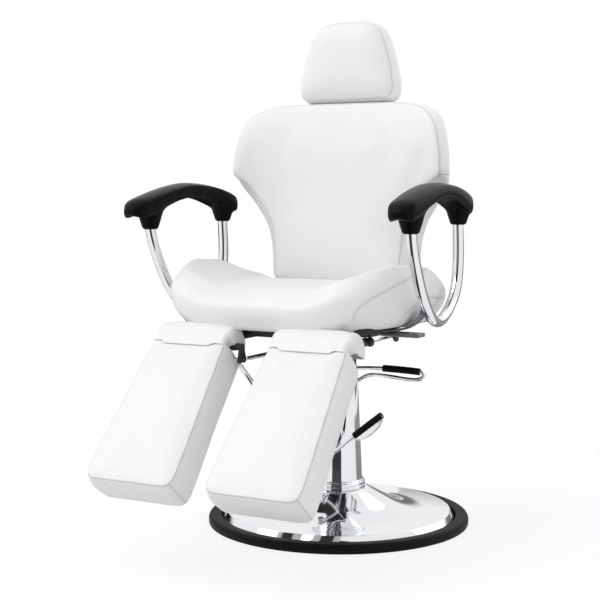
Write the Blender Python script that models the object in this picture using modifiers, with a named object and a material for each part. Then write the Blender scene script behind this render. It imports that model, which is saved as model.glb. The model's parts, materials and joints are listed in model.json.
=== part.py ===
"""Salon chair with a hydraulic column, reclining back, headrest and two leg rests.

Metres, +Z up. The origin is on the floor on the column's axis, the sitter faces -Y
and the sitter's left is +X.
"""

import math

import bmesh
import bpy
from mathutils import Euler, Matrix, Vector

# Clearances
GAP = 0.0003
RUNNING_GAP = 0.0005

# Foot: rubber ring, steel plate and chromed dish
RING_RADIUS = 0.318
RING_WIDTH = 0.031
RING_HEIGHT = 0.022
RING_ROUND = 0.006
PLATE_THICKNESS = 0.010
DISH_WALL = 0.0025
DISH_BEVEL = 0.014
DISH_CREST_HEIGHT = 0.032
DISH_FLAT_SHARE = 0.30
THROAT_HEIGHT = 0.085

# Column: pump, chromed cover, collar and piston
COLUMN_FOOT_RADIUS = 0.0625
COLUMN_TOP_RADIUS = 0.0452
COLUMN_TOP = 0.385
COLUMN_WALL = 0.002
COLLAR_WALL = 0.0065
COLLAR_HEIGHT = 0.0205
COLLAR_GROOVE = 0.002
COLLAR_WAIST_SHARE = 0.55
PUMP_RADIUS = 0.035
PUMP_FLANGE_RADIUS = 0.075
PUMP_FLANGE_THICKNESS = 0.012
PUMP_HEAD_RADIUS = 0.043
PUMP_HEAD_HEIGHT = 0.020
PUMP_HEAD_CHAMFER = 0.003
PISTON_RADIUS = 0.0225
PISTON_ENGAGED = 0.265
SPIGOT_RADIUS = 0.019
SPIGOT_LENGTH = 0.028
BEARING_RADIUS = 0.030
BEARING_THICKNESS = 0.006
HUB_RADIUS = 0.036
HUB_LENGTH = 0.038
HUB_LIFT = 0.013
TOP_PLATE_WIDTH = 0.230
TOP_PLATE_DEPTH = 0.140
TOP_PLATE_THICKNESS = 0.008

# Seat frame
RAIL_SIZE = 0.030
RAIL_SPREAD = 0.105
FRONT_TUBE_LENGTH = 0.424
FRONT_TUBE_Y = -0.328
FRONT_TUBE_HEIGHT = 0.016
REAR_TUBE_LENGTH = 0.240
REAR_TUBE_DEPTH = 0.025
REAR_TUBE_Y = 0.0575
BOARD_THICKNESS = 0.012
BOARD_WIDTH = 0.470
BOARD_FRONT = -0.352
BOARD_REAR = 0.045
BOARD_CORNER = 0.050

# Seat cushion
SEAT_WIDTH = 0.575
SEAT_FRONT = -0.428
SEAT_REAR = 0.062
SEAT_MIDDLE_HEIGHT = 0.079
SEAT_BOLSTER_RISE = 0.058
SEAT_BOLSTER_START = 0.40
SEAT_BOLSTER_SPREAD = 0.26
SEAT_BOLSTER_FULL = 0.88
SEAT_NOSE_DROP = 0.012
SEAT_REAR_DROP = 0.016
SEAT_WAIST = 0.005
SEAT_FRONT_TAPER = 0.030
SEAT_TUCK = 0.030
SEAT_TOP_TUCK = 0.0105
SEAT_TAPER_START = -0.2
SEAT_SPREAD_START = -0.2
SEAT_SPREAD_FULL = 0.6
SEAT_NOSE_START = 0.5
SEAT_REAR_START = 0.3

# Backrest, measured up and behind its own hinge
BACK_HINGE_Y = 0.112
BACK_HINGE_RISE = 0.0208
BACK_TILT = math.radians(4.0)
BACK_RECLINE = math.radians(72.0)
BACK_BOTTOM = 0.083
BACK_HEIGHT = 0.432
BACK_THICKNESS = 0.104
BACK_FOOT_HALF_WIDTH = 0.172
BACK_WING_HALF_WIDTH = 0.296
BACK_TOP_HALF_WIDTH = 0.222
BACK_WAIST_SHARE = 0.12
BACK_WING_SHARE = 0.60
BACK_SHOULDER_SHARE = 0.66
BACK_FLARE = 1.5
BACK_CROWN = 0.010
BACK_FLAT_HALF_WIDTH = 0.100
BACK_WING_FORWARD = 0.058
BACK_EDGE_THINNING = 0.030
BACK_SHOULDER_ROUND = 2.6
BACK_TUCK = 0.94
BACK_BOARD_THICKNESS = 0.010
BACK_BOARD_WIDTH = 0.260
BACK_BOARD_HEIGHT = 0.350
BACK_BOARD_CORNER = 0.030
BACK_BOARD_START = 0.105
BACK_ARM_SPREAD = 0.085
BACK_ARM_THICKNESS = 0.006
BACK_ARM_DEPTH = 0.030
BACK_ARM_LENGTH = 0.330
BACK_EAR_THICKNESS = 0.005
BACK_EAR_RADIUS = 0.0145
BACK_PIN_RADIUS = 0.006

# Recline gas spring
SPRING_X = 0.067
SPRING_RADIUS = 0.011
SPRING_FRONT = -0.165
SPRING_REAR = 0.012
SPRING_ROD_RADIUS = 0.005
SPRING_ROD_TAIL = 0.205
SPRING_HANGER = 0.030
SPRING_HANGER_Y = -0.050
SPRING_CRANK = 0.050
SPRING_STEP = 1.10
SPRING_PIN_RADIUS = 0.0035
SPRING_SLOT_PLAY = 0.0027

# Headrest
HEAD_LIFT_GAP = 0.008
HEAD_HEIGHT = 0.196
HEAD_THICKNESS = 0.104
HEAD_FOOT_HALF_WIDTH = 0.108
HEAD_WIDE_HALF_WIDTH = 0.128
HEAD_TOP_HALF_WIDTH = 0.062
HEAD_WIDE_SHARE = 0.20
HEAD_TAPER = 1.3
HEAD_CROWN = 0.008
HEAD_TUCK = 0.94
HEAD_REAR_TAPER = 0.24
HEAD_BOARD_WIDTH = 0.110
HEAD_BOARD_HEIGHT = 0.120
HEAD_BOARD_THICKNESS = 0.005
HEAD_BOARD_CORNER = 0.020
HEAD_BAR_WIDTH = 0.040
HEAD_BAR_THICKNESS = 0.006
HEAD_BAR_TAIL = 0.185
HEAD_BAR_REACH = 0.120
HEAD_SOCKET_WALL = 0.006
HEAD_SOCKET_HEIGHT = 0.090
HEAD_SOCKET_DROP = 0.030

# Leg rests, measured from their hinge at the seat's front edge
LEG_HINGE_Y = -0.392
LEG_HINGE_DROP = 0.0047
LEG_LEAN = math.radians(42.0)
LEG_RAISE = math.radians(48.0)
LEG_LOWER = math.radians(15.0)
LEG_INNER = 0.0455
LEG_WIDTH = 0.204
LEG_FLARE = 0.020
LEG_SQUARENESS = 0.6
LEG_TOP = 0.014
LEG_LENGTH = 0.384
LEG_THICKNESS = 0.086
LEG_CROWN = 0.007
LEG_TUCK = 0.970
LEG_SHAFT_RADIUS = 0.008
LEG_EAR_THICKNESS = 0.004
LEG_EAR_RADIUS = 0.0130
LEG_EAR_INNER = 0.0750
LEG_EAR_OUTER = 0.2050
LEG_LINK_THICKNESS = 0.008
LEG_PLATE_WIDTH = 0.090
LEG_PLATE_LENGTH = 0.300
LEG_PLATE_THICKNESS = 0.004
FLAP_THICKNESS = 0.0025
FLAP_DROP = 0.011
FLAP_OVERHANG = 0.002
FLAP_LEAN = 0.0012
FLAP_TAB = 0.009
FLAP_WRAP = math.radians(160.0)
FLAP_SLOT_START = math.radians(50.0)
FLAP_SLOT_WIDTH = 0.006
FLAP_CHEEK_WRAP = math.radians(92.0)
FLAP_TAB_SHARE = 0.55
FLAP_WAVE_SHARE = 0.80

# Leg-rest crank, ratchet bar and release lever
CRANK_X = 0.0390
CRANK_THICKNESS = 0.005
CRANK_RADIUS = 0.025
CRANK_STEP = 1.06
CRANK_END_RADIUS = 0.0075
BAR_X = 0.0280
BAR_RADIUS = 0.0045
BAR_TAIL = 0.190
BAR_NOSE = 0.007
BAR_PIN_RADIUS = 0.003
BAR_SLOT_PLAY = 0.0015
GUIDE_WALL = 0.004
GUIDE_LENGTH = 0.060
GUIDE_FRONT = -0.270
GUIDE_HANGER = 0.006
RELEASE_ARM = 0.031
RELEASE_EYE_RADIUS = 0.0065
RELEASE_PIN_RADIUS = 0.004
RELEASE_RADIUS = 0.0055
RELEASE_LENGTH = 0.115
RELEASE_DROP = math.radians(40.0)

# Arm rests
ARM_X = 0.3205
ARM_TUBE_RADIUS = 0.0125
ARM_FRONT_Y = -0.318
ARM_REAR_Y = -0.022
ARM_LOW_Y = -0.150
ARM_LOW_RISE = 0.0420
ARM_LOOP_HEIGHT = 0.2318
ARM_STRAIGHT = 0.026
ARM_EASE = 0.013
ARM_LOW_SHARE = 0.25
ARM_SHOULDER_SHARE = 0.60
ARM_FRONT_LEAN = 0.0265
ARM_FRONT_BEND = 0.079
ARM_REAR_LEAN = -0.004
ARM_REAR_BEND = 0.017
ARM_PAD_FRONT = -0.396
ARM_PAD_REAR = 0.021
ARM_PAD_WIDTH = 0.070
ARM_PAD_THICKNESS = 0.046
ARM_PAD_RISE = 0.079
ARM_PAD_ARCH = 0.036
ARM_PAD_END_SHARE = 0.62
ARM_PAD_NARROW = 0.80
ARM_PAD_THIN_POWER = 3.0
ARM_PAD_NARROW_POWER = 4.0
ARM_PAD_ARCH_POWER = 2.4
FERRULE_FOOT_RADIUS = 0.0185
FERRULE_TOP_RADIUS = 0.0280
FERRULE_DROP = 0.022
STRAP_WIDTH = 0.036
STRAP_THICKNESS = 0.006
STRAP_Y = -0.195
STRAP_INNER = 0.128
STRAP_RISE = 0.061
ARM_SLIDE = 0.035
KNOB_X = 0.178
KNOB_STEM_RADIUS = 0.0035
KNOB_STEM_LENGTH = 0.016
KNOB_BALL_RADIUS = 0.0105
KNOB_WASHER_RADIUS = 0.012
KNOB_WASHER_THICKNESS = 0.0022

# Pump pedal and swivel brake lever
LEVER_RADIUS = 0.005
LEVER_TIE_RADIUS = 0.0042
LEVER_LOOP = 0.020
LEVER_EYE_RADIUS = 0.011
LEVER_EYE_LENGTH = 0.016
LEVER_PIN_RADIUS = 0.005
LEVER_HEAD_RADIUS = 0.009
LEVER_HEAD_THICKNESS = 0.003
LEVER_PLANE_Y = -0.074
LEVER_GRIP_RADIUS = 0.0088
CLAMP_WALL = 0.005
CLAMP_WIDTH = 0.028
CLAMP_HEIGHT = 0.020
CLAMP_REAR_Y = -0.030
PEDAL_X = -0.020
PEDAL_Z = 0.146
PEDAL_RISE = math.radians(38.0)
PEDAL_LENGTH = 0.212
PEDAL_LOOP_START = 0.122
PEDAL_GRIP_START = 0.140
BRAKE_X = 0.010
BRAKE_DROP = 0.025
BRAKE_RISE = math.radians(7.0)
BRAKE_LENGTH = 0.222
BRAKE_LOOP_START = 0.088
BRAKE_GRIP_START = 0.112
GRIP_END_MARGIN = 0.004

# Mesh fineness
TURN_STEPS = 44
COLUMN_STEPS = 28
ROD_SIDES = 14
TUBE_SIDES = 10
TUBE_STEPS = 3
ARC_POINTS = 6
CORNER_POINTS = 5
DISH_STEPS = 8
BALL_STEPS = 5

# Levels worked out from the sizes above
PUMP_FOOT_Z = PLATE_THICKNESS + GAP
PUMP_HEAD_TOP = COLUMN_TOP + GAP + PUMP_HEAD_HEIGHT
SHOULDER_Z = PUMP_HEAD_TOP + HUB_LIFT
BEARING_Z = SHOULDER_Z + GAP
HUB_Z = BEARING_Z + BEARING_THICKNESS + GAP
TOP_PLATE_Z = HUB_Z + HUB_LENGTH
RAIL_Z = TOP_PLATE_Z + TOP_PLATE_THICKNESS + GAP
BACK_HINGE_Z = RAIL_Z + BACK_HINGE_RISE
LEG_HINGE_Z = RAIL_Z - LEG_HINGE_DROP
ARM_LOW_Z = RAIL_Z + ARM_LOW_RISE
ARM_TOP_Z = ARM_LOW_Z + ARM_LOOP_HEIGHT
ARM_PAD_TOP = ARM_TOP_Z + ARM_PAD_RISE
BRAKE_Z = COLUMN_TOP - BRAKE_DROP
RAIL_TOP = RAIL_Z + RAIL_SIZE
BOARD_Z = RAIL_TOP + GAP
SEAT_Z = BOARD_Z + BOARD_THICKNESS + GAP
STRAP_TOP = BOARD_Z - GAP
BACK_FACE_REAR = -BACK_ARM_DEPTH / 2 - GAP
BOARD_FACE_REAR = BACK_FACE_REAR - BACK_BOARD_THICKNESS - GAP
HEAD_BOTTOM = BACK_BOTTOM + BACK_HEIGHT + HEAD_LIFT_GAP
LEG_HALF = LEG_THICKNESS / 2
LEG_CENTRE = LEG_INNER + LEG_WIDTH / 2
BAR_Z = LEG_HINGE_Z - CRANK_RADIUS
LEG_MIDDLE = (LEG_RAISE - LEG_LOWER) / 2
BAR_PIN_Y = LEG_HINGE_Y + CRANK_STEP * CRANK_RADIUS * LEG_MIDDLE
SPRING_Z = BACK_HINGE_Z - SPRING_CRANK
SPRING_PIN_Y = BACK_HINGE_Y + SPRING_STEP * SPRING_CRANK * BACK_RECLINE / 2

FINISHES = {
    "white leather": ((0.86, 0.85, 0.84), 0.42, 0.0),
    "black foam": ((0.018, 0.018, 0.019), 0.38, 0.0),
    "rubber": ((0.022, 0.022, 0.023), 0.72, 0.0),
    "chrome": ((0.80, 0.81, 0.83), 0.08, 1.0),
    "black steel": ((0.025, 0.025, 0.027), 0.45, 0.0),
    "grey steel": ((0.36, 0.37, 0.39), 0.35, 1.0),
    "bearing steel": ((0.55, 0.56, 0.58), 0.30, 1.0),
    "black board": ((0.030, 0.029, 0.028), 0.80, 0.0),
    "black plastic": ((0.015, 0.015, 0.016), 0.30, 0.0),
}
materials = {}

for old in list(bpy.data.objects):
    bpy.data.objects.remove(old)
scene_root = bpy.context.scene.collection
parts = bpy.data.collections.new("salon_chair")
cutters = bpy.data.collections.new("cutters")
scene_root.children.link(parts)
scene_root.children.link(cutters)


# Helpers that make solids

def finish_material(look):
    """The shared material of one finish."""
    if look not in materials:
        colour, roughness, metallic = FINISHES[look]
        material = bpy.data.materials.new(look)
        material.use_nodes = True
        shader = material.node_tree.nodes["Principled BSDF"]
        shader.inputs["Base Color"].default_value = (*colour, 1.0)
        shader.inputs["Roughness"].default_value = roughness
        shader.inputs["Metallic"].default_value = metallic
        materials[look] = material
    return materials[look]


def pivot(name, place, lean=0.0, turn=0.0, carrier=None):
    """An empty on a joint's axis, leaning about X or turned about Y."""
    empty = bpy.data.objects.new(name, None)
    empty.location = place
    empty.rotation_euler = Euler((lean, turn, 0.0))
    empty.parent = carrier
    parts.objects.link(empty)
    return empty


def keep(piece, look, carrier=None):
    """Finish a piece: material, smooth shading and the empty that carries it."""
    piece.data.materials.clear()
    piece.data.materials.append(finish_material(look))
    piece.parent = carrier
    if piece.type == "MESH":
        piece.data.shade_smooth()
        piece.data.set_sharp_from_angle(angle=math.radians(35.0))
    return piece


def solid(name, bm):
    """An object from a finished bmesh."""
    bmesh.ops.recalc_face_normals(bm, faces=bm.faces[:])
    mesh = bpy.data.meshes.new(name)
    bm.to_mesh(mesh)
    bm.free()
    piece = bpy.data.objects.new(name, mesh)
    parts.objects.link(piece)
    return piece


def box(name, low, high):
    """A block between two opposite corners."""
    low, high = Vector(low), Vector(high)
    bm = bmesh.new()
    bmesh.ops.create_cube(bm, size=1.0)
    bmesh.ops.scale(bm, vec=high - low, verts=bm.verts[:])
    bmesh.ops.translate(bm, vec=(low + high) / 2, verts=bm.verts[:])
    return solid(name, bm)


def rod(name, start, end, radius, end_radius=None, sides=ROD_SIDES):
    """A round bar, or a cone, between two points."""
    start, end = Vector(start), Vector(end)
    axis = end - start
    bm = bmesh.new()
    tip = radius if end_radius is None else end_radius
    bmesh.ops.create_cone(bm, cap_ends=True, segments=sides, radius1=radius,
                          radius2=tip, depth=axis.length)
    place = Matrix.Translation((start + end) / 2)
    turn = Vector((0, 0, 1)).rotation_difference(axis).to_matrix().to_4x4()
    bmesh.ops.transform(bm, matrix=place @ turn, verts=bm.verts[:])
    return solid(name, bm)


def turned(name, profile, steps=COLUMN_STEPS, closed=False):
    """A profile of (radius, height) points, outer side downwards, turned about Z."""
    bm = bmesh.new()
    points = [bm.verts.new((radius, 0.0, height)) for radius, height in profile]
    for first, second in zip(points, points[1:]):
        bm.edges.new((first, second))
    if closed:
        bm.edges.new((points[-1], points[0]))
    mesh = bpy.data.meshes.new(name)
    bm.to_mesh(mesh)
    bm.free()
    piece = bpy.data.objects.new(name, mesh)
    parts.objects.link(piece)
    screw = piece.modifiers.new("turn", "SCREW")
    screw.steps = steps
    screw.render_steps = steps
    screw.use_merge_vertices = True
    screw.merge_threshold = 0.00001
    return piece


def as_mesh(curve):
    """The closed mesh of a curve object, in its place."""
    depsgraph = bpy.context.evaluated_depsgraph_get()
    mesh = bpy.data.meshes.new_from_object(curve.evaluated_get(depsgraph))
    bm = bmesh.new()
    bm.from_mesh(mesh)
    bmesh.ops.remove_doubles(bm, verts=bm.verts[:], dist=0.00001)
    name = curve.name
    place = curve.matrix_world.copy()
    bpy.data.objects.remove(curve)
    piece = solid(name, bm)
    piece.matrix_world = place
    return piece


def tube(name, points, radius, smooth=False, sides=TUBE_SIDES):
    """A round tube along points: straight between them, or a smooth curve."""
    curve = bpy.data.curves.new(name, "CURVE")
    curve.dimensions = "3D"
    curve.bevel_depth = radius
    curve.bevel_resolution = (sides - 4) // 2
    curve.use_fill_caps = True
    curve.resolution_u = TUBE_STEPS
    spline = curve.splines.new("BEZIER" if smooth else "POLY")
    knots = spline.bezier_points if smooth else spline.points
    knots.add(len(points) - 1)
    for knot, point in zip(knots, points):
        if smooth:
            knot.co = point
            knot.handle_left_type = "AUTO"
            knot.handle_right_type = "AUTO"
        else:
            knot.co = (*point, 1.0)
    piece = bpy.data.objects.new(name, curve)
    parts.objects.link(piece)
    bpy.context.view_layer.update()
    return as_mesh(piece)


def plate(name, outline, thickness, x=None, z=None):
    """A flat outline: of (y, z) points at x, or of (x, y) points above z."""
    curve = bpy.data.curves.new(name, "CURVE")
    curve.dimensions = "2D"
    curve.fill_mode = "BOTH"
    curve.extrude = thickness / 2
    spline = curve.splines.new("POLY")
    spline.points.add(len(outline) - 1)
    for knot, (across, up) in zip(spline.points, outline):
        knot.co = (across, up, 0.0, 1.0)
    spline.use_cyclic_u = True
    piece = bpy.data.objects.new(name, curve)
    parts.objects.link(piece)
    bpy.context.view_layer.update()
    piece = as_mesh(piece)
    if x is not None:
        upright = Matrix(((0, 0, 1, x), (1, 0, 0, 0), (0, 1, 0, 0), (0, 0, 0, 1)))
    else:
        upright = Matrix.Translation((0, 0, z + thickness / 2))
    piece.data.transform(upright)
    return piece


def arc(centre, radius, start, end, count=ARC_POINTS):
    """Points along an arc, both ends included."""
    points = []
    for step in range(count + 1):
        angle = start + (end - start) * step / count
        points.append((centre[0] + radius * math.cos(angle),
                       centre[1] + radius * math.sin(angle)))
    return points


def stadium(start, end, radius):
    """The outline around two equal circles."""
    aim = math.atan2(end[1] - start[1], end[0] - start[0])
    quarter = math.pi / 2
    return (arc(end, radius, aim - quarter, aim + quarter)
            + arc(start, radius, aim + quarter, aim + 3 * quarter))


def rounded_rectangle(low, high, radius, count=CORNER_POINTS):
    """The outline of a rectangle with round corners."""
    quarter = math.pi / 2
    corners = ((high[0] - radius, high[1] - radius, 0), (low[0] + radius, high[1] - radius, 1),
               (low[0] + radius, low[1] + radius, 2), (high[0] - radius, low[1] + radius, 3))
    points = []
    for across, up, number in corners:
        points += arc((across, up), radius, number * quarter, (number + 1) * quarter, count)
    return points


def combine(piece, other, operation):
    """Join another solid to a piece, or cut it away."""
    cutters.objects.link(other)
    parts.objects.unlink(other)
    other.hide_render = True
    other.display_type = "WIRE"
    boolean = piece.modifiers.new(operation.lower(), "BOOLEAN")
    boolean.operation = operation
    boolean.solver = "EXACT"
    boolean.object = other
    return piece


def join(piece, other, carrier=None):
    """Weld another solid onto a piece."""
    other.parent = carrier
    return combine(piece, other, "UNION")


def cut(piece, other, carrier=None):
    """Cut another solid out of a piece."""
    other.parent = carrier
    return combine(piece, other, "DIFFERENCE")


def round_edges(piece, width, segments=2):
    """Round a block's edges."""
    bevel = piece.modifiers.new("round", "BEVEL")
    bevel.width = width
    bevel.segments = segments
    bevel.limit_method = "ANGLE"
    return piece


def cushion(name, cells, shape):
    """A soft form: a cube cage of some cells, shaped by a rule and subdivided once."""
    bm = bmesh.new()
    bmesh.ops.create_cube(bm, size=2.0)
    for axis in range(3):
        normal = Vector((0, 0, 0))
        normal[axis] = 1.0
        for step in range(1, cells[axis]):
            everything = bm.verts[:] + bm.edges[:] + bm.faces[:]
            place = normal * (2 * step / cells[axis] - 1)
            bmesh.ops.bisect_plane(bm, geom=everything, dist=0.0001,
                                   plane_co=place, plane_no=normal)
    for vertex in bm.verts:
        vertex.co = shape(*vertex.co)
    piece = solid(name, bm)
    subdivision = piece.modifiers.new("soft", "SUBSURF")
    subdivision.levels = 1
    subdivision.render_levels = 1
    return piece


def toward_ends(value, power):
    """Move a place between -1 and 1 towards the nearer end, for squarer corners."""
    return math.copysign(abs(value) ** power, value)


def ease(value, start, end):
    """A smooth step from 0 to 1 between start and end."""
    share = min(max((value - start) / (end - start), 0.0), 1.0)
    return share * share * (3 - 2 * share)


# Foot

def base_ring():
    inner = RING_RADIUS - RING_WIDTH
    profile = [(inner, RING_HEIGHT), (inner + RING_ROUND, RING_HEIGHT)]
    profile += [(RING_RADIUS - RING_ROUND, RING_HEIGHT - RING_ROUND / 3)]
    profile += [(RING_RADIUS - RING_ROUND / 4, RING_HEIGHT - RING_ROUND)]
    profile += [(RING_RADIUS, RING_ROUND), (RING_RADIUS - RING_ROUND / 2, 0.0), (inner, 0.0)]
    keep(turned("base_ring", profile, TURN_STEPS, closed=True), "rubber")


def base_plate():
    radius = RING_RADIUS - RING_WIDTH - GAP
    profile = [(0.0, PLATE_THICKNESS), (radius, PLATE_THICKNESS), (radius, 0.0), (0.0, 0.0)]
    keep(turned("base_plate", profile, TURN_STEPS), "grey steel")


def dish_height(share):
    """Height of the dish from its crest (0) over the flat part to the flat top of the throat (1)."""
    climb = max(share - DISH_FLAT_SHARE, 0.0) / (1 - DISH_FLAT_SHARE)
    return DISH_CREST_HEIGHT + (THROAT_HEIGHT - DISH_CREST_HEIGHT) * climb ** 2 * (3 - 2 * climb)


def base_dish():
    rim = RING_RADIUS - RING_WIDTH - GAP
    crest = rim - DISH_BEVEL
    throat = column_radius(THROAT_HEIGHT) + GAP + COLLAR_WALL / 2
    outer = []
    for step in range(DISH_STEPS + 1):
        share = 1 - step / DISH_STEPS
        outer.append((crest + (throat - crest) * share, dish_height(share)))
    outer += [(rim, RING_HEIGHT), (rim, PUMP_FOOT_Z)]
    inner = [(rim - DISH_WALL, PUMP_FOOT_Z), (rim - DISH_WALL, RING_HEIGHT)]
    for radius, height in reversed(outer[:-2]):
        inner.append((radius - DISH_WALL / 3, height - DISH_WALL))
    keep(turned("base_dish", outer + inner, TURN_STEPS, closed=True), "chrome")


# Column

def column_radius(height):
    """Outer radius of the slightly conical column cover."""
    share = (height - PUMP_FOOT_Z) / (COLUMN_TOP - PUMP_FOOT_Z)
    return COLUMN_FOOT_RADIUS + (COLUMN_TOP_RADIUS - COLUMN_FOOT_RADIUS) * share


def pump_body():
    bore = PISTON_RADIUS + RUNNING_GAP
    flange_top = PUMP_FOOT_Z + PUMP_FLANGE_THICKNESS
    profile = [(bore, COLUMN_TOP), (PUMP_RADIUS, COLUMN_TOP), (PUMP_RADIUS, flange_top),
               (PUMP_FLANGE_RADIUS, flange_top), (PUMP_FLANGE_RADIUS, PUMP_FOOT_Z),
               (0.0, PUMP_FOOT_Z), (0.0, flange_top), (bore, flange_top)]
    keep(turned("pump_body", profile, closed=True), "grey steel")


def column_cover():
    foot = PUMP_FOOT_Z + PUMP_FLANGE_THICKNESS + GAP
    top = column_radius(COLUMN_TOP)
    bottom = column_radius(foot)
    profile = [(top, COLUMN_TOP), (bottom, foot), (bottom - COLUMN_WALL, foot),
               (top - COLUMN_WALL, COLUMN_TOP)]
    keep(turned("column_cover", profile, closed=True), "chrome")


def column_collar():
    foot = THROAT_HEIGHT + GAP
    bore = column_radius(foot) + GAP
    outer = bore + COLLAR_WALL
    waist = foot + COLLAR_HEIGHT * COLLAR_WAIST_SHARE
    top = foot + COLLAR_HEIGHT
    profile = [(bore, top), (outer - 2 * COLLAR_GROOVE, top),
               (outer - COLLAR_GROOVE, top - COLLAR_GROOVE),
               (outer - COLLAR_GROOVE, waist + COLLAR_GROOVE),
               (outer - 2 * COLLAR_GROOVE, waist), (outer, waist - COLLAR_GROOVE),
               (outer, foot), (bore, foot)]
    keep(turned("column_collar", profile, closed=True), "chrome")


def pump_head():
    bore = PISTON_RADIUS + RUNNING_GAP
    foot = COLUMN_TOP + GAP
    chamfer = PUMP_HEAD_CHAMFER
    profile = [(bore, PUMP_HEAD_TOP), (PUMP_HEAD_RADIUS - chamfer, PUMP_HEAD_TOP),
               (PUMP_HEAD_RADIUS, PUMP_HEAD_TOP - chamfer), (PUMP_HEAD_RADIUS, foot),
               (bore, foot)]
    keep(turned("pump_head", profile, closed=True), "black steel")


def lift_piston(lift):
    profile = [(0.0, SHOULDER_Z + SPIGOT_LENGTH), (SPIGOT_RADIUS, SHOULDER_Z + SPIGOT_LENGTH),
               (SPIGOT_RADIUS, SHOULDER_Z), (PISTON_RADIUS, SHOULDER_Z),
               (PISTON_RADIUS, COLUMN_TOP - PISTON_ENGAGED), (0.0, COLUMN_TOP - PISTON_ENGAGED)]
    keep(turned("lift_piston", profile), "bearing steel", lift)


def thrust_bearing(lift):
    bore = SPIGOT_RADIUS + GAP
    top = BEARING_Z + BEARING_THICKNESS
    profile = [(bore, top), (BEARING_RADIUS, top), (BEARING_RADIUS, BEARING_Z), (bore, BEARING_Z)]
    keep(turned("thrust_bearing", profile, closed=True), "bearing steel", lift)


# Seat frame

def swivel_hub(seat):
    half = TOP_PLATE_WIDTH / 2
    depth = TOP_PLATE_DEPTH / 2
    bore = SPIGOT_RADIUS + RUNNING_GAP
    ceiling = SHOULDER_Z + SPIGOT_LENGTH + RUNNING_GAP
    hub = plate("swivel_hub", rounded_rectangle((-half, -depth), (half, depth), HUB_RADIUS / 2),
                TOP_PLATE_THICKNESS, z=TOP_PLATE_Z)
    lap = TOP_PLATE_THICKNESS / 2
    join(hub, rod("hub_boss", (0, 0, HUB_Z), (0, 0, TOP_PLATE_Z + lap), HUB_RADIUS,
                  sides=COLUMN_STEPS))
    cut(hub, rod("hub_bore", (0, 0, HUB_Z - lap), (0, 0, ceiling), bore, sides=COLUMN_STEPS))
    keep(hub, "black steel", seat)


def rails(seat):
    front = FRONT_TUBE_Y + RAIL_SIZE / 2 + GAP
    rear = REAR_TUBE_Y - REAR_TUBE_DEPTH / 2 - GAP
    for side, sign in (("left", 1), ("right", -1)):
        centre = sign * RAIL_SPREAD
        rail = box(side + "_rail", (centre - RAIL_SIZE / 2, front, RAIL_Z),
                   (centre + RAIL_SIZE / 2, rear, RAIL_TOP))
        keep(round_edges(rail, RAIL_SIZE / 10), "black steel", seat)


def front_cross_tube(seat):
    """Front bar of the frame, with the ears that carry both leg-rest shafts."""
    half = FRONT_TUBE_LENGTH / 2
    depth = RAIL_SIZE / 2
    tube_piece = box("front_cross_tube", (-half, FRONT_TUBE_Y - depth, RAIL_TOP - FRONT_TUBE_HEIGHT),
                     (half, FRONT_TUBE_Y + depth, RAIL_TOP))
    hinge = (LEG_HINGE_Y, LEG_HINGE_Z)
    anchor = (FRONT_TUBE_Y, RAIL_Z + RAIL_SIZE / 2)
    for sign in (1, -1):
        for place in (LEG_EAR_INNER, LEG_EAR_OUTER):
            join(tube_piece, plate("leg_ear", stadium(anchor, hinge, LEG_EAR_RADIUS),
                                   LEG_EAR_THICKNESS, x=sign * place))
    bore = LEG_SHAFT_RADIUS + RUNNING_GAP
    cut(tube_piece, rod("leg_ear_bore", (-half, *hinge), (half, *hinge), bore))
    keep(tube_piece, "black steel", seat)


def rear_cross_tube(seat):
    """Rear tube of the frame, with the forks that carry the back's arms."""
    half = REAR_TUBE_LENGTH / 2
    depth = REAR_TUBE_DEPTH / 2
    tube_piece = box("rear_cross_tube", (-half, REAR_TUBE_Y - depth, RAIL_Z),
                     (half, REAR_TUBE_Y + depth, RAIL_TOP))
    hinge = (BACK_HINGE_Y, BACK_HINGE_Z)
    anchor = (REAR_TUBE_Y - depth + BACK_EAR_RADIUS + RUNNING_GAP, RAIL_Z + RAIL_SIZE / 2)
    reach = (BACK_ARM_THICKNESS + BACK_EAR_THICKNESS) / 2 + RUNNING_GAP
    for sign in (1, -1):
        for offset in (-reach, reach):
            join(tube_piece, plate("back_ear", stadium(anchor, hinge, BACK_EAR_RADIUS),
                                   BACK_EAR_THICKNESS, x=sign * BACK_ARM_SPREAD + offset))
    bore = BACK_PIN_RADIUS + GAP
    cut(tube_piece, rod("back_ear_bore", (-half, *hinge), (half, *hinge), bore))
    keep(tube_piece, "black steel", seat)


def back_pins(seat):
    reach = BACK_ARM_THICKNESS / 2 + BACK_EAR_THICKNESS + 2 * RUNNING_GAP
    for side, sign in (("left", 1), ("right", -1)):
        centre = sign * BACK_ARM_SPREAD
        pin = rod(side + "_back_pin", (centre - reach, BACK_HINGE_Y, BACK_HINGE_Z),
                  (centre + reach, BACK_HINGE_Y, BACK_HINGE_Z), BACK_PIN_RADIUS)
        keep(pin, "bearing steel", seat)


def seat_board(seat):
    half = BOARD_WIDTH / 2
    outline = rounded_rectangle((-half, BOARD_FRONT), (half, BOARD_REAR), BOARD_CORNER)
    keep(plate("seat_board", outline, BOARD_THICKNESS, z=BOARD_Z), "black board", seat)


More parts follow.
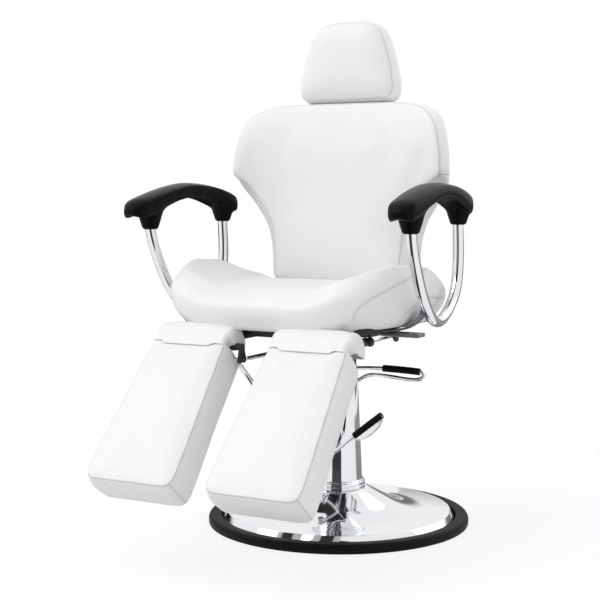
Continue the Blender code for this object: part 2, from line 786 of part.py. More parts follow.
def seat_form(across, along, up):
    """Seat cushion: dished middle, raised side bolsters, rolled front edge."""
    edge = abs(across)
    tuck = 0.0
    if abs(up) == 1:
        tuck = SEAT_TUCK if up < 0 else SEAT_TOP_TUCK
    half = SEAT_WIDTH / 2 - SEAT_WAIST * (1 - along * along) - tuck
    half -= SEAT_FRONT_TAPER * ease(-along, SEAT_TAPER_START, 1.0)
    middle = (SEAT_FRONT + SEAT_REAR) / 2
    length = (SEAT_REAR - SEAT_FRONT) / 2 - tuck
    start = SEAT_BOLSTER_START + SEAT_BOLSTER_SPREAD * ease(along, SEAT_SPREAD_START, SEAT_SPREAD_FULL)
    bolster = SEAT_BOLSTER_RISE * ease(edge, start, SEAT_BOLSTER_FULL)
    top = SEAT_MIDDLE_HEIGHT + bolster - SEAT_NOSE_DROP * ease(-along, SEAT_NOSE_START, 1.0)
    top -= SEAT_REAR_DROP * ease(along, SEAT_REAR_START, 1.0)
    return Vector((across * half, middle + along * length, SEAT_Z + top * (up + 1) / 2))


def seat_cushion(seat):
    keep(cushion("seat_cushion", (8, 7, 2), seat_form), "white leather", seat)


# Arm rests

def arm_route(sign):
    """Centre line of an arm's tube, from its front end to its rear end."""
    height = ARM_TOP_Z - ARM_LOW_Z
    low_bend = ARM_LOW_Z + ARM_LOW_SHARE * height
    shoulder = ARM_LOW_Z + ARM_SHOULDER_SHARE * height
    straight = ARM_TOP_Z - ARM_STRAIGHT
    end = straight - ARM_EASE
    front = [(ARM_FRONT_Y, ARM_TOP_Z), (ARM_FRONT_Y, straight), (ARM_FRONT_Y, end),
             (ARM_FRONT_Y + ARM_FRONT_LEAN, shoulder), (ARM_FRONT_Y + ARM_FRONT_BEND, low_bend)]
    rear = [(ARM_REAR_Y - ARM_REAR_BEND, low_bend), (ARM_REAR_Y - ARM_REAR_LEAN, shoulder),
            (ARM_REAR_Y, end), (ARM_REAR_Y, straight), (ARM_REAR_Y, ARM_TOP_Z)]
    points = front + [(ARM_LOW_Y, ARM_LOW_Z)] + rear
    return [(sign * ARM_X, along, up) for along, up in points]


def arm_pad_form(sign):
    """Arched, rounded pad with thinner, narrower ends."""
    def form(across, along, up):
        end = abs(along)
        middle = (ARM_PAD_FRONT + ARM_PAD_REAR) / 2
        half_length = (ARM_PAD_REAR - ARM_PAD_FRONT) / 2
        thick = ARM_PAD_THICKNESS * (1 - (1 - ARM_PAD_END_SHARE) * end ** ARM_PAD_THIN_POWER)
        half = ARM_PAD_WIDTH / 2 * (1 - (1 - ARM_PAD_NARROW) * end ** ARM_PAD_NARROW_POWER)
        top = ARM_PAD_TOP - ARM_PAD_ARCH * end ** ARM_PAD_ARCH_POWER
        return Vector((sign * ARM_X + across * half, middle + along * half_length,
                       top - thick * (1 - up) / 2))
    return form


def arm(side, sign, carrier):
    loop = tube(side + "_arm_loop", arm_route(sign), ARM_TUBE_RADIUS, smooth=True)
    keep(loop, "chrome", carrier)
    pad = cushion(side + "_arm_pad", (3, 8, 2), arm_pad_form(sign))
    bore = ARM_TUBE_RADIUS + RUNNING_GAP
    seat_level = ARM_TOP_Z + GAP
    for along in (ARM_FRONT_Y, ARM_REAR_Y):
        foot = (sign * ARM_X, along, ARM_TOP_Z - FERRULE_DROP)
        inside = (sign * ARM_X, along, ARM_PAD_TOP - ARM_PAD_THICKNESS)
        join(pad, rod("ferrule", foot, inside, FERRULE_FOOT_RADIUS, FERRULE_TOP_RADIUS), carrier)
    for along in (ARM_FRONT_Y, ARM_REAR_Y):
        below = (sign * ARM_X, along, ARM_TOP_Z - 2 * FERRULE_DROP)
        cut(pad, rod("ferrule_bore", below, (sign * ARM_X, along, seat_level), bore), carrier)
    keep(pad, "black foam", carrier)
    arm_strap(side, sign, carrier)


def arm_strap(side, sign, carrier):
    """Bent flat bar from the clamp under the seat board up to the arm's tube."""
    outer = ARM_X - ARM_TUBE_RADIUS - GAP
    floor = STRAP_TOP - STRAP_THICKNESS
    low = (STRAP_INNER, STRAP_Y - STRAP_WIDTH / 2, floor)
    high = (outer, STRAP_Y + STRAP_WIDTH / 2, STRAP_TOP)
    if sign < 0:
        low, high = (-high[0], low[1], low[2]), (-low[0], high[1], high[2])
    strap = box(side + "_arm_strap", low, high)
    inside = outer - STRAP_THICKNESS
    wall = sorted((sign * inside, sign * outer))
    join(strap, box("strap_upright", (wall[0], low[1], floor),
                    (wall[1], high[1], ARM_LOW_Z + STRAP_RISE - ARM_TUBE_RADIUS * 2)), carrier)
    half = KNOB_STEM_RADIUS + RUNNING_GAP
    slot = sorted((sign * (KNOB_X + half), sign * (KNOB_X - ARM_SLIDE - half)))
    margin = STRAP_THICKNESS / 2
    cut(strap, box("strap_slot", (slot[0], STRAP_Y - half, floor - margin),
                   (slot[1], STRAP_Y + half, STRAP_TOP + margin)), carrier)
    keep(strap, "grey steel", carrier)


def arm_knob(side, carrier):
    """Ball knob on a screw that clamps the strap under the seat board."""
    washer_top = -STRAP_THICKNESS - 2 * GAP
    washer_low = washer_top - KNOB_WASHER_THICKNESS
    ball = washer_low - KNOB_STEM_LENGTH - KNOB_BALL_RADIUS
    start = math.asin(KNOB_STEM_RADIUS / KNOB_BALL_RADIUS)
    profile = [(0.0, -GAP), (KNOB_STEM_RADIUS, -GAP), (KNOB_STEM_RADIUS, washer_top),
               (KNOB_WASHER_RADIUS, washer_top), (KNOB_WASHER_RADIUS, washer_low),
               (KNOB_STEM_RADIUS, washer_low)]
    for step in range(BALL_STEPS + 1):
        angle = start + (math.pi - start) * step / BALL_STEPS
        radius = KNOB_BALL_RADIUS * math.sin(angle) if step < BALL_STEPS else 0.0
        profile.append((radius, ball + KNOB_BALL_RADIUS * math.cos(angle)))
    keep(turned(side + "_arm_knob", profile, ROD_SIDES), "black plastic", carrier)


# Backrest and headrest, in the frame of the back's hinge

def back_half_width(share):
    """Half-width of the back from its foot (0) to its top (1): stem, wings, shoulders."""
    if share < BACK_WING_SHARE:
        rise = max(share - BACK_WAIST_SHARE, 0.0) / (BACK_WING_SHARE - BACK_WAIST_SHARE)
        growth = BACK_WING_HALF_WIDTH - BACK_FOOT_HALF_WIDTH
        return BACK_FOOT_HALF_WIDTH + growth * rise ** BACK_FLARE
    fall = max(share - BACK_SHOULDER_SHARE, 0.0) / (1 - BACK_SHOULDER_SHARE)
    narrowing = (BACK_WING_HALF_WIDTH - BACK_TOP_HALF_WIDTH) * fall ** BACK_SHOULDER_ROUND
    return BACK_WING_HALF_WIDTH - narrowing


def back_form(across, up, behind):
    """Winged back cushion: crowned front, thinner wings that come forward."""
    share = (up + 1) / 2
    half = back_half_width(share) * (1.0 if abs(behind) < 0.5 else BACK_TUCK)
    front = BOARD_FACE_REAR - BACK_THICKNESS
    crown = BACK_CROWN * (1 - across * across) * (1 - up * up)
    depth = front + BACK_THICKNESS * (behind + 1) / 2
    if behind < -0.5:
        depth -= crown
    beyond = max(abs(across * half) - BACK_FLAT_HALF_WIDTH, 0.0)
    sweep = (beyond / (BACK_WING_HALF_WIDTH - BACK_FLAT_HALF_WIDTH)) ** 2
    depth -= BACK_WING_FORWARD * sweep
    depth -= BACK_EDGE_THINNING * sweep * (behind + 1) / 2
    draw = (1 - BACK_TUCK) * BACK_HEIGHT / 4 * (0.0 if abs(behind) < 0.5 else up)
    return Vector((across * half, depth, BACK_BOTTOM + BACK_HEIGHT * share - draw))


def turn_upright(form):
    """Let a form of (across, up, behind) read a cage of (x, y, z)."""
    return lambda x, y, z: form(x, z, y)


def back_cushion(back):
    keep(cushion("back_cushion", (6, 2, 11), turn_upright(back_form)), "white leather", back)


def upright_board(name, half_width, low, high, corner, front, thickness):
    """A board standing behind a cushion, from its front face backwards."""
    outline = rounded_rectangle((-half_width, low), (half_width, high), corner)
    board = plate(name, outline, thickness, z=0.0)
    depth = (0, 0, -1, front + thickness)
    board.data.transform(Matrix(((1, 0, 0, 0), depth, (0, 1, 0, 0), (0, 0, 0, 1))))
    return board


def back_board(back):
    low = BACK_BOARD_START
    board = upright_board("back_board", BACK_BOARD_WIDTH / 2, low, low + BACK_BOARD_HEIGHT,
                          BACK_BOARD_CORNER, BACK_FACE_REAR - BACK_BOARD_THICKNESS,
                          BACK_BOARD_THICKNESS)
    keep(board, "black board", back)


def back_arms(back):
    """Flat arms from the hinge up the back board; the left one has the spring's crank."""
    top = BACK_ARM_LENGTH - BACK_ARM_DEPTH / 2
    bore = BACK_PIN_RADIUS + RUNNING_GAP
    for side, sign in (("left", 1), ("right", -1)):
        place = sign * BACK_ARM_SPREAD
        arm_piece = plate(side + "_back_arm", stadium((0.0, 0.0), (0.0, top), BACK_ARM_DEPTH / 2),
                          BACK_ARM_THICKNESS, x=place)
        if sign > 0:
            spring_crank(arm_piece, place, back)
        reach = BACK_ARM_THICKNESS
        cut(arm_piece, rod("back_arm_bore", (place - reach, 0, 0), (place + reach, 0, 0), bore), back)
        keep(arm_piece, "black steel", back)


def spring_crank(arm_piece, place, back):
    """Slotted crank below the hinge, square to the spring at half recline."""
    aim = BACK_RECLINE / 2 - math.pi / 2 + BACK_TILT
    reach = SPRING_CRANK / math.cos(BACK_RECLINE / 2)
    slot = SPRING_PIN_RADIUS + SPRING_SLOT_PLAY
    aim_vector = Vector((math.cos(aim), math.sin(aim)))
    outer = 2 * slot
    join(arm_piece, plate("spring_crank", stadium((0.0, 0.0), aim_vector * reach, outer),
                          BACK_ARM_THICKNESS, x=place), back)
    cut(arm_piece, plate("spring_slot", stadium(aim_vector * SPRING_CRANK, aim_vector * reach, slot),
                         2 * BACK_ARM_THICKNESS, x=place), back)


def recline_spring(seat, spring):
    """Gas spring along the frame; its rod's pin rides in the crank's slot."""
    low = (SPRING_X, SPRING_FRONT, SPRING_Z)
    high = (SPRING_X, SPRING_REAR, SPRING_Z)
    cylinder = rod("recline_cylinder", low, high, SPRING_RADIUS)
    half = SPRING_HANGER / 2
    thin = SPRING_RADIUS / 2
    join(cylinder, box("spring_hanger", (SPRING_X - thin, SPRING_HANGER_Y - half, SPRING_Z),
                       (SPRING_X + thin, SPRING_HANGER_Y + half, TOP_PLATE_Z - GAP)))
    bore_end = (SPRING_X, SPRING_REAR + SPRING_RADIUS, SPRING_Z)
    bore_start = (SPRING_X, SPRING_FRONT + SPRING_RADIUS, SPRING_Z)
    cut(cylinder, rod("spring_bore", bore_start, bore_end, SPRING_ROD_RADIUS + RUNNING_GAP))
    keep(cylinder, "black steel", seat)
    nose = SPRING_PIN_Y + SPRING_ROD_RADIUS
    rod_piece = rod("recline_rod", (SPRING_X, nose - SPRING_ROD_TAIL, SPRING_Z),
                    (SPRING_X, nose, SPRING_Z), SPRING_ROD_RADIUS)
    pin_end = BACK_ARM_SPREAD + BACK_ARM_THICKNESS / 2 + SPRING_PIN_RADIUS
    join(rod_piece, rod("spring_pin", (SPRING_X, SPRING_PIN_Y, SPRING_Z),
                        (pin_end, SPRING_PIN_Y, SPRING_Z), SPRING_PIN_RADIUS))
    keep(rod_piece, "chrome", spring)


def head_half_width(share):
    """Half-width of the headrest from its foot (0) to its top (1)."""
    if share < HEAD_WIDE_SHARE:
        growth = HEAD_WIDE_HALF_WIDTH - HEAD_FOOT_HALF_WIDTH
        return HEAD_FOOT_HALF_WIDTH + growth * ease(share, 0.0, HEAD_WIDE_SHARE)
    fall = (share - HEAD_WIDE_SHARE) / (1 - HEAD_WIDE_SHARE)
    return HEAD_WIDE_HALF_WIDTH - (HEAD_WIDE_HALF_WIDTH - HEAD_TOP_HALF_WIDTH) * fall ** HEAD_TAPER


def head_form(across, up, behind):
    """Small trapezoid cushion with a crowned front."""
    share = (up + 1) / 2
    half = head_half_width(share) * (1.0 if abs(behind) < 0.5 else HEAD_TUCK)
    half *= 1 - HEAD_REAR_TAPER * (behind + 1) / 2
    rear = BACK_FACE_REAR - HEAD_BOARD_THICKNESS - GAP
    depth = rear - HEAD_THICKNESS + HEAD_THICKNESS * (behind + 1) / 2
    if behind < -0.5:
        depth -= HEAD_CROWN * (1 - across * across) * (1 - up * up)
    return Vector((across * half, depth, HEAD_BOTTOM + HEAD_HEIGHT * share))


def headrest(back, head):
    keep(cushion("headrest_cushion", (4, 2, 6), turn_upright(head_form)), "white leather", head)
    low = HEAD_BOTTOM + (HEAD_HEIGHT - HEAD_BOARD_HEIGHT) / 2
    board = upright_board("headrest_board", HEAD_BOARD_WIDTH / 2, low, low + HEAD_BOARD_HEIGHT,
                          HEAD_BOARD_CORNER, BACK_FACE_REAR - HEAD_BOARD_THICKNESS,
                          HEAD_BOARD_THICKNESS)
    keep(board, "black board", head)
    front = BACK_FACE_REAR + GAP
    half = HEAD_BAR_WIDTH / 2
    bar = box("headrest_bar", (-half, front, HEAD_BOTTOM - HEAD_BAR_TAIL),
              (half, front + HEAD_BAR_THICKNESS, HEAD_BOTTOM + HEAD_BAR_REACH))
    keep(bar, "chrome", head)
    top = BACK_BOARD_START + BACK_BOARD_HEIGHT - HEAD_SOCKET_DROP / 2
    wall = half + RUNNING_GAP + HEAD_SOCKET_WALL
    rear = front + HEAD_BAR_THICKNESS + RUNNING_GAP
    socket = box("headrest_socket", (-wall, front, top - HEAD_SOCKET_HEIGHT),
                 (wall, rear + HEAD_SOCKET_WALL, top))
    inside = half + RUNNING_GAP
    cut(socket, box("socket_slot", (-inside, front - GAP * 2, top - 2 * HEAD_SOCKET_HEIGHT),
                    (inside, rear, top + HEAD_SOCKET_HEIGHT)), back)
    keep(socket, "black plastic", back)


# Leg rests, in the frame of their hinge

def leg_form(sign):
    """Long cushion, a little wider at its foot, with a crowned front."""
    def form(across, behind, up):
        across = toward_ends(across, LEG_SQUARENESS)
        up = toward_ends(up, LEG_SQUARENESS)
        share = (1 - up) / 2
        half = LEG_WIDTH / 2 + LEG_FLARE * (share - 1 / 2)
        half *= 1.0 if abs(behind) < 0.5 else LEG_TUCK
        depth = LEG_HALF * behind
        if behind < -0.5:
            foot = max(-up, 0.0)
            depth += LEG_CROWN * (1 - (1 - across * across) * (1 - foot * foot))
        height = -LEG_TOP - (LEG_LENGTH - LEG_TOP) * share
        return Vector((sign * LEG_CENTRE + across * half, depth, height))
    return form


def leg_frame(side, sign, carrier):
    """Turning shaft, link and back plate of a leg rest, with its slotted crank."""
    inner = CRANK_X - CRANK_THICKNESS / 2
    outer = LEG_EAR_OUTER + LEG_EAR_THICKNESS
    frame = rod(side + "_leg_frame", (sign * inner, 0, 0), (sign * outer, 0, 0), LEG_SHAFT_RADIUS)
    half = LEG_PLATE_WIDTH / 2
    centre = sign * LEG_CENTRE
    rear = LEG_HALF + GAP + LEG_PLATE_THICKNESS
    link = LEG_LINK_THICKNESS / 2
    join(frame, box("leg_link", (centre - half, 0.0, -link), (centre + half, rear, link)), carrier)
    join(frame, box("leg_plate", (centre - half, LEG_HALF + GAP, -LEG_PLATE_LENGTH),
                    (centre + half, rear, link)), carrier)
    place = sign * CRANK_X
    aim = LEG_LEAN - math.pi / 2 + LEG_MIDDLE
    aim_vector = Vector((math.cos(aim), math.sin(aim)))
    swing = (LEG_RAISE + LEG_LOWER) / 2
    reach = CRANK_RADIUS / math.cos(swing)
    join(frame, plate("leg_crank", stadium((0.0, 0.0), aim_vector * reach, CRANK_END_RADIUS),
                      CRANK_THICKNESS, x=place), carrier)
    lever = release_place()
    join(frame, plate("release_arm", stadium((0.0, 0.0), lever, RELEASE_EYE_RADIUS),
                      CRANK_THICKNESS, x=place), carrier)
    face = CRANK_X + CRANK_THICKNESS / 2
    join(frame, rod("release_pin", (sign * (face - CRANK_THICKNESS / 2), *lever),
                    (sign * (face + 2 * RELEASE_RADIUS), *lever), RELEASE_PIN_RADIUS), carrier)
    slot = BAR_PIN_RADIUS + BAR_SLOT_PLAY
    cut(frame, plate("crank_slot", stadium(aim_vector * CRANK_RADIUS, aim_vector * reach, slot),
                     2 * CRANK_THICKNESS, x=place), carrier)
    keep(frame, "black steel", carrier)


def release_place():
    """Pivot of the release lever below the shaft, in the leg's frame."""
    aim = LEG_LEAN - math.pi / 2 - LEG_MIDDLE
    return Vector((math.cos(aim), math.sin(aim))) * RELEASE_ARM


def release_lever(side, sign, carrier):
    """Straight hand lever on an eye; it points back and down at rest."""
    near = CRANK_X + CRANK_THICKNESS / 2 + GAP
    middle = sign * (near + RELEASE_RADIUS)
    eye = rod(side + "_release_lever", (sign * near, 0, 0),
              (sign * (near + 2 * RELEASE_RADIUS), 0, 0), RELEASE_EYE_RADIUS)
    aim = LEG_LEAN - RELEASE_DROP
    tip = Vector((middle, RELEASE_LENGTH * math.cos(aim), RELEASE_LENGTH * math.sin(aim)))
    join(eye, rod("release_rod", (middle, 0, 0), tip, RELEASE_RADIUS), carrier)
    cut(eye, rod("release_bore", (sign * (near - GAP), 0, 0),
                 (sign * (near + 3 * RELEASE_RADIUS), 0, 0), RELEASE_PIN_RADIUS + GAP), carrier)
    keep(eye, "chrome", carrier)


def leg_flap(side, sign, carrier):
    """Leather flap over the hinge, from the pad's front over the top to its back.

    Two slots leave room for the ears, which come in from behind.
    """
    across_cells, along_cells = 8, 12
    half = (LEG_WIDTH - LEG_FLARE) / 2 + FLAP_OVERHANG
    radius = LEG_HALF + GAP
    front = LEG_TOP + FLAP_DROP
    bm = bmesh.new()
    bmesh.ops.create_grid(bm, x_segments=across_cells, y_segments=along_cells, size=1.0)
    for vertex in bm.verts:
        across, along = vertex.co.x, (vertex.co.y + 1) / 2
        tab = FLAP_TAB * (1 - ease(abs(across), FLAP_TAB_SHARE, FLAP_WAVE_SHARE))
        drop = front + tab
        travel = along * (drop + radius * FLAP_WRAP) - drop
        place = sign * LEG_CENTRE + across * half
        if travel < 0:
            lean = FLAP_LEAN * (travel / drop) ** 2 + LEG_CROWN * across * across
            vertex.co = (place, lean - radius, travel)
        else:
            angle = travel / radius
            vertex.co = (place, -radius * math.cos(angle), radius * math.sin(angle))
    piece = solid(side + "_leg_flap", bm)
    skin = piece.modifiers.new("leather", "SOLIDIFY")
    skin.thickness = FLAP_THICKNESS
    skin.offset = 1.0
    middle = radius + FLAP_THICKNESS / 2
    cheek = arc((0.0, 0.0), middle, math.pi, math.pi - FLAP_CHEEK_WRAP)
    low = RUNNING_GAP - LEG_TOP
    cheek += [(middle / 2, low), (-middle, low)]
    edge = LEG_CENTRE + half - FLAP_THICKNESS
    join(piece, plate("flap_cheek", cheek, FLAP_THICKNESS, x=sign * edge), carrier)
    slot = FLAP_SLOT_WIDTH / 2
    start = -radius * math.cos(FLAP_SLOT_START)
    reach = radius + 2 * FLAP_THICKNESS
    for ear in (LEG_EAR_INNER, LEG_EAR_OUTER):
        cut(piece, box("flap_slot", (sign * ear - slot, start, FLAP_THICKNESS),
                       (sign * ear + slot, reach, reach)), carrier)
    keep(piece, "white leather", carrier)


def ratchet(side, sign, seat, carrier):
    """Sliding bar whose pin rides in the leg's crank, and its guide under the seat board."""
    place = sign * BAR_X
    nose = (place, BAR_PIN_Y - BAR_NOSE, BAR_Z)
    tail = (place, BAR_PIN_Y + BAR_TAIL, BAR_Z)
    bar = rod(side + "_ratchet_bar", nose, tail, BAR_RADIUS)
    pin_end = sign * (CRANK_X + CRANK_THICKNESS / 2 + BAR_PIN_RADIUS)
    join(bar, rod("bar_pin", (place, BAR_PIN_Y, BAR_Z), (pin_end, BAR_PIN_Y, BAR_Z), BAR_PIN_RADIUS))
    keep(bar, "chrome", carrier)
    rear = GUIDE_FRONT + GUIDE_LENGTH
    radius = BAR_RADIUS + RUNNING_GAP + GUIDE_WALL
    guide = rod(side + "_ratchet_guide", (place, GUIDE_FRONT, BAR_Z), (place, rear, BAR_Z), radius)
    half = GUIDE_HANGER / 2
    join(guide, box("guide_hanger", (place - half, GUIDE_FRONT + half, BAR_Z),
                    (place + half, rear - half, BOARD_Z - GAP)))
    cut(guide, rod("guide_bore", (place, GUIDE_FRONT - GUIDE_LENGTH, BAR_Z),
                   (place, rear + GUIDE_LENGTH, BAR_Z), BAR_RADIUS + RUNNING_GAP))
    keep(guide, "black steel", seat)


# Pump pedal and swivel brake lever

def lever_clamp(name, x, z):
    """Saddle block on the column's front with a stub axle for a lever."""
    low = z - CLAMP_HEIGHT / 2
    high = z + CLAMP_HEIGHT / 2
    half = CLAMP_WIDTH / 2
    plane = LEVER_PLANE_Y + LEVER_EYE_LENGTH / 2 + RUNNING_GAP
    clamp = box(name, (x - half, plane, low), (x + half, CLAMP_REAR_Y, high))
    cut(clamp, rod("clamp_saddle", (0, 0, low - half), (0, 0, high + half),
                   column_radius(low) + GAP, sides=COLUMN_STEPS))
    end = LEVER_PLANE_Y - LEVER_EYE_LENGTH / 2 - RUNNING_GAP
    join(clamp, rod("clamp_axle", (x, plane + CLAMP_WALL / 2, z), (x, end - LEVER_HEAD_THICKNESS, z),
                    LEVER_PIN_RADIUS))
    join(clamp, rod("clamp_head", (x, end, z), (x, end - LEVER_HEAD_THICKNESS, z), LEVER_HEAD_RADIUS))
    keep(clamp, "chrome")


def loop_lever(name, grip_name, carrier, length, loop_start, grip_start):
    """Bent rod with a narrow loop at its end and a rubber sleeve on the upper limb."""
    half = LEVER_LOOP / 2
    bend = arc((length, -half), half, math.pi / 2, -math.pi / 2)
    route = [(0.0, 0.0, 0.0)] + [(across, 0.0, up) for across, up in bend]
    route.append((loop_start + half, 0.0, -LEVER_LOOP))
    lever = tube(name, route, LEVER_RADIUS)
    join(lever, rod("lever_tie", (loop_start + half + LEVER_RADIUS, 0, -LEVER_LOOP),
                    (loop_start, 0, 0), LEVER_TIE_RADIUS), carrier)
    eye = LEVER_EYE_LENGTH / 2
    join(lever, rod("lever_eye", (0, -eye, 0), (0, eye, 0), LEVER_EYE_RADIUS), carrier)
    cut(lever, rod("lever_bore", (0, -2 * eye, 0), (0, 2 * eye, 0),
                   LEVER_PIN_RADIUS + RUNNING_GAP), carrier)
    keep(lever, "chrome", carrier)
    bore = LEVER_RADIUS + GAP
    end = length - GRIP_END_MARGIN
    grip = rod(grip_name, (grip_start, 0, 0), (end, 0, 0), LEVER_GRIP_RADIUS)
    cut(grip, rod("grip_bore", (grip_start - half, 0, 0), (end + half, 0, 0), bore), carrier)
    keep(grip, "rubber", carrier)


def build():
    base_ring()
    base_plate()
    base_dish()
    pump_body()
    column_cover()
    column_collar()
    pump_head()
    lever_clamp("pedal_clamp", PEDAL_X, PEDAL_Z)
    lever_clamp("brake_clamp", BRAKE_X, BRAKE_Z)
    pedal = pivot("pedal_pivot", (PEDAL_X, LEVER_PLANE_Y, PEDAL_Z), turn=-PEDAL_RISE)
    loop_lever("pump_pedal", "pedal_grip", pedal, PEDAL_LENGTH, PEDAL_LOOP_START, PEDAL_GRIP_START)
    brake = pivot("brake_pivot", (BRAKE_X, LEVER_PLANE_Y, BRAKE_Z), turn=-BRAKE_RISE)
    loop_lever("brake_lever", "brake_grip", brake, BRAKE_LENGTH, BRAKE_LOOP_START, BRAKE_GRIP_START)

    lift = pivot("lift_axis", (0, 0, 0))
    lift_piston(lift)
    thrust_bearing(lift)
    seat = pivot("seat_swivel", (0, 0, 0), carrier=lift)
    swivel_hub(seat)
    rails(seat)
    front_cross_tube(seat)
    rear_cross_tube(seat)
    back_pins(seat)
    seat_board(seat)
    seat_cushion(seat)

    back = pivot("back_hinge", (0, BACK_HINGE_Y, BACK_HINGE_Z), lean=-BACK_TILT, carrier=seat)
    back_cushion(back)
    back_board(back)
    back_arms(back)
    recline_spring(seat, pivot("spring_slide", (0, 0, 0), carrier=seat))
    headrest(back, pivot("headrest_slide", (0, 0, 0), carrier=back))

    for side, sign in (("left", 1), ("right", -1)):
        arm(side, sign, pivot(side + "_arm_slide", (0, 0, 0), carrier=seat))
        arm_knob(side, pivot(side + "_knob_axis", (sign * KNOB_X, STRAP_Y, BOARD_Z), carrier=seat))
        leg = pivot(side + "_leg_hinge", (0, LEG_HINGE_Y, LEG_HINGE_Z), lean=-LEG_LEAN, carrier=seat)
        keep(cushion(side + "_leg_cushion", (4, 3, 7), leg_form(sign)), "white leather", leg)
        leg_frame(side, sign, leg)
        leg_flap(side, sign, leg)
        release_y, release_z = release_place()
        release = pivot(side + "_release_pivot", (0, release_y, release_z), carrier=leg)
        release_lever(side, sign, release)
        ratchet(side, sign, seat, pivot(side + "_bar_slide", (0, 0, 0), carrier=seat))


build()
bpy.context.view_layer.update()
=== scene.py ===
import json
import math

import bpy
from mathutils import Matrix, Vector
from mathutils.bvhtree import BVHTree
from mathutils.kdtree import KDTree


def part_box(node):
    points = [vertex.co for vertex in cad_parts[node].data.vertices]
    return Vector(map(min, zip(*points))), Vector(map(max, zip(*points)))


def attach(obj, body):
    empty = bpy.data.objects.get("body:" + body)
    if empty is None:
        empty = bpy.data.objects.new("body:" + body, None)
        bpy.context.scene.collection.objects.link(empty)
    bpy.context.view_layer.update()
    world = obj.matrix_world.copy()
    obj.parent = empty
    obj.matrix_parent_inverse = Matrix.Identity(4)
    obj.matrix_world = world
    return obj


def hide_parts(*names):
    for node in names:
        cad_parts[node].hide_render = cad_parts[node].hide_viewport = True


# Salon chair dressed over its CAD frame. Metres, +Z up, the chair faces -Y.

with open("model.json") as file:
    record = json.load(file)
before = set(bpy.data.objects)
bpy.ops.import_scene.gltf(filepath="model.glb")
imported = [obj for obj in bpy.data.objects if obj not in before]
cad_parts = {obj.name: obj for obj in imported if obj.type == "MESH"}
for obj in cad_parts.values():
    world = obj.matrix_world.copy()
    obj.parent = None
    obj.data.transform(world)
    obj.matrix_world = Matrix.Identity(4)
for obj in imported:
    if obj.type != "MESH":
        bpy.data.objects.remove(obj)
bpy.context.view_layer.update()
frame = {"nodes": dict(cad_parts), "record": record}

# Camera, fitted to the photograph
PHOTO_PIXELS = 600
FOCAL_PIXELS = 1344.0
CAMERA_DISTANCE = 3.25
CAMERA_HEIGHT = 0.82
CAMERA_TURN = math.radians(27.0)
AXIS_PIXEL = 339.0
HORIZON_PIXEL = 185.0
SENSOR_WIDTH = 36.0

# Light
WORLD_FILL = 0.78
KEY_STRENGTH = 1.05
LAMP_ANGLE = math.radians(50.0)
KEY_TILT = (math.radians(44.0), 0.0, math.radians(-42.0))
RIM_STRENGTH = 0.35
RIM_TILT = (math.radians(55.0), 0.0, math.radians(150.0))
FLOOR_SIZE = 60.0
FLOOR_GLOW = 0.80

# Panels that only reflections see: bearing, distance, width, foot, top, tone and height of the faded
# upper edge of the standing ones; bearing, half angle, inner and outer radius and tone of those
# lying on the floor
FLAGS = ((18.0, 1.6, 1.30, 0.0, 1.8, 0.05, 0.0), (-116.0, 3.0, 4.50, 0.10, 0.84, 0.01, 0.34),
         (168.0, 3.0, 4.00, 0.10, 0.84, 0.20, 0.34))
FLOOR_FLAGS = ((19.0, 22.0, 0.36, 3.0, 0.05), (165.0, 42.0, 0.34, 3.0, 0.28),
               (-128.0, 26.0, 0.36, 3.0, 0.05))
FLAG_LIFT = 0.002

# Frames of the back and of the left leg rest, tilted about their hinges
BACK_TILT = math.radians(4.0)
LEG_LEAN = math.radians(42.0)
joints = {joint["name"]: joint for joint in frame["record"]["behaviour"]["joints"]}
BACK_PLACE = (Matrix.Translation(joints["recline"]["pos_m"])
              @ Matrix.Rotation(-BACK_TILT, 4, "X"))
LEG_PLACE = (Matrix.Translation(joints["left_leg_raise"]["pos_m"])
             @ Matrix.Rotation(-LEG_LEAN, 4, "X"))

# Colours of the finishes, and roughness of the brushed steels
LEATHER_COLOUR = (0.865, 0.860, 0.852)
THREAD_COLOUR = (0.70, 0.69, 0.68)
PU_COLOUR = (0.0045, 0.0045, 0.0048)
RUBBER_COLOUR = (0.006, 0.006, 0.0065)
CHROME_COLOUR = (0.80, 0.81, 0.83)
PAINTED_COLOUR = (0.025, 0.025, 0.027)
BOARD_COLOUR = (0.030, 0.029, 0.028)
PLASTIC_COLOUR = (0.015, 0.015, 0.016)
STEEL_GREY_COLOUR = (0.36, 0.37, 0.39)
STEEL_GREY_ROUGHNESS = 0.30
STEEL_GROUND_COLOUR = (0.55, 0.56, 0.58)
STEEL_GROUND_ROUGHNESS = 0.18
FLOOR_COLOUR = (1.0, 1.0, 1.0)
GLOW_COLOUR = (1.0, 1.0, 1.0, 1.0)
DULL_SPECULAR = 0.1
PU_SPECULAR = 0.05
BRUSHED_STRETCH = (30.0, 900.0, 900.0)

# Seat cushion. A range is where a form begins and where it is full, as a share of the seat: along it
# from 0 in the middle to 1 at its end, across it from 0 in the middle to 1 at its side
SEAT_TOP_ROLL = 0.019
SEAT_LOW_ROLL = 0.0475
SEAT_NOSE_TOP_ROLL = 0.061
SEAT_NOSE_LOW_ROLL = 0.050
SEAT_WIDEST_SHARE = 0.676
SEAT_MIDDLE_HEIGHT = 0.079
SEAT_BOLSTER_RISE = 0.053
SEAT_BOLSTER_REAR_FALL = 0.040
SEAT_BOLSTER_FRONT_FALL = 0.0232
SEAT_BOLSTER_START = 0.4745
SEAT_BOLSTER_SPREAD = 0.185
SEAT_NOSE_DROP = 0.010
SEAT_REAR_DROP = 0.016
SEAT_FRONT_TAPER = 0.030
SEAT_CORNER = 0.136
SEAT_WIDER = 0.016
SEAT_REAR_WINGS = 0.0245
SEAT_SKIRT = 0.0128
SEAT_SIDE_SKIRT = 0.0085
SEAT_CORNER_POWER = 6
SEAT_TAPER_RANGE = (-0.2, 1.0)
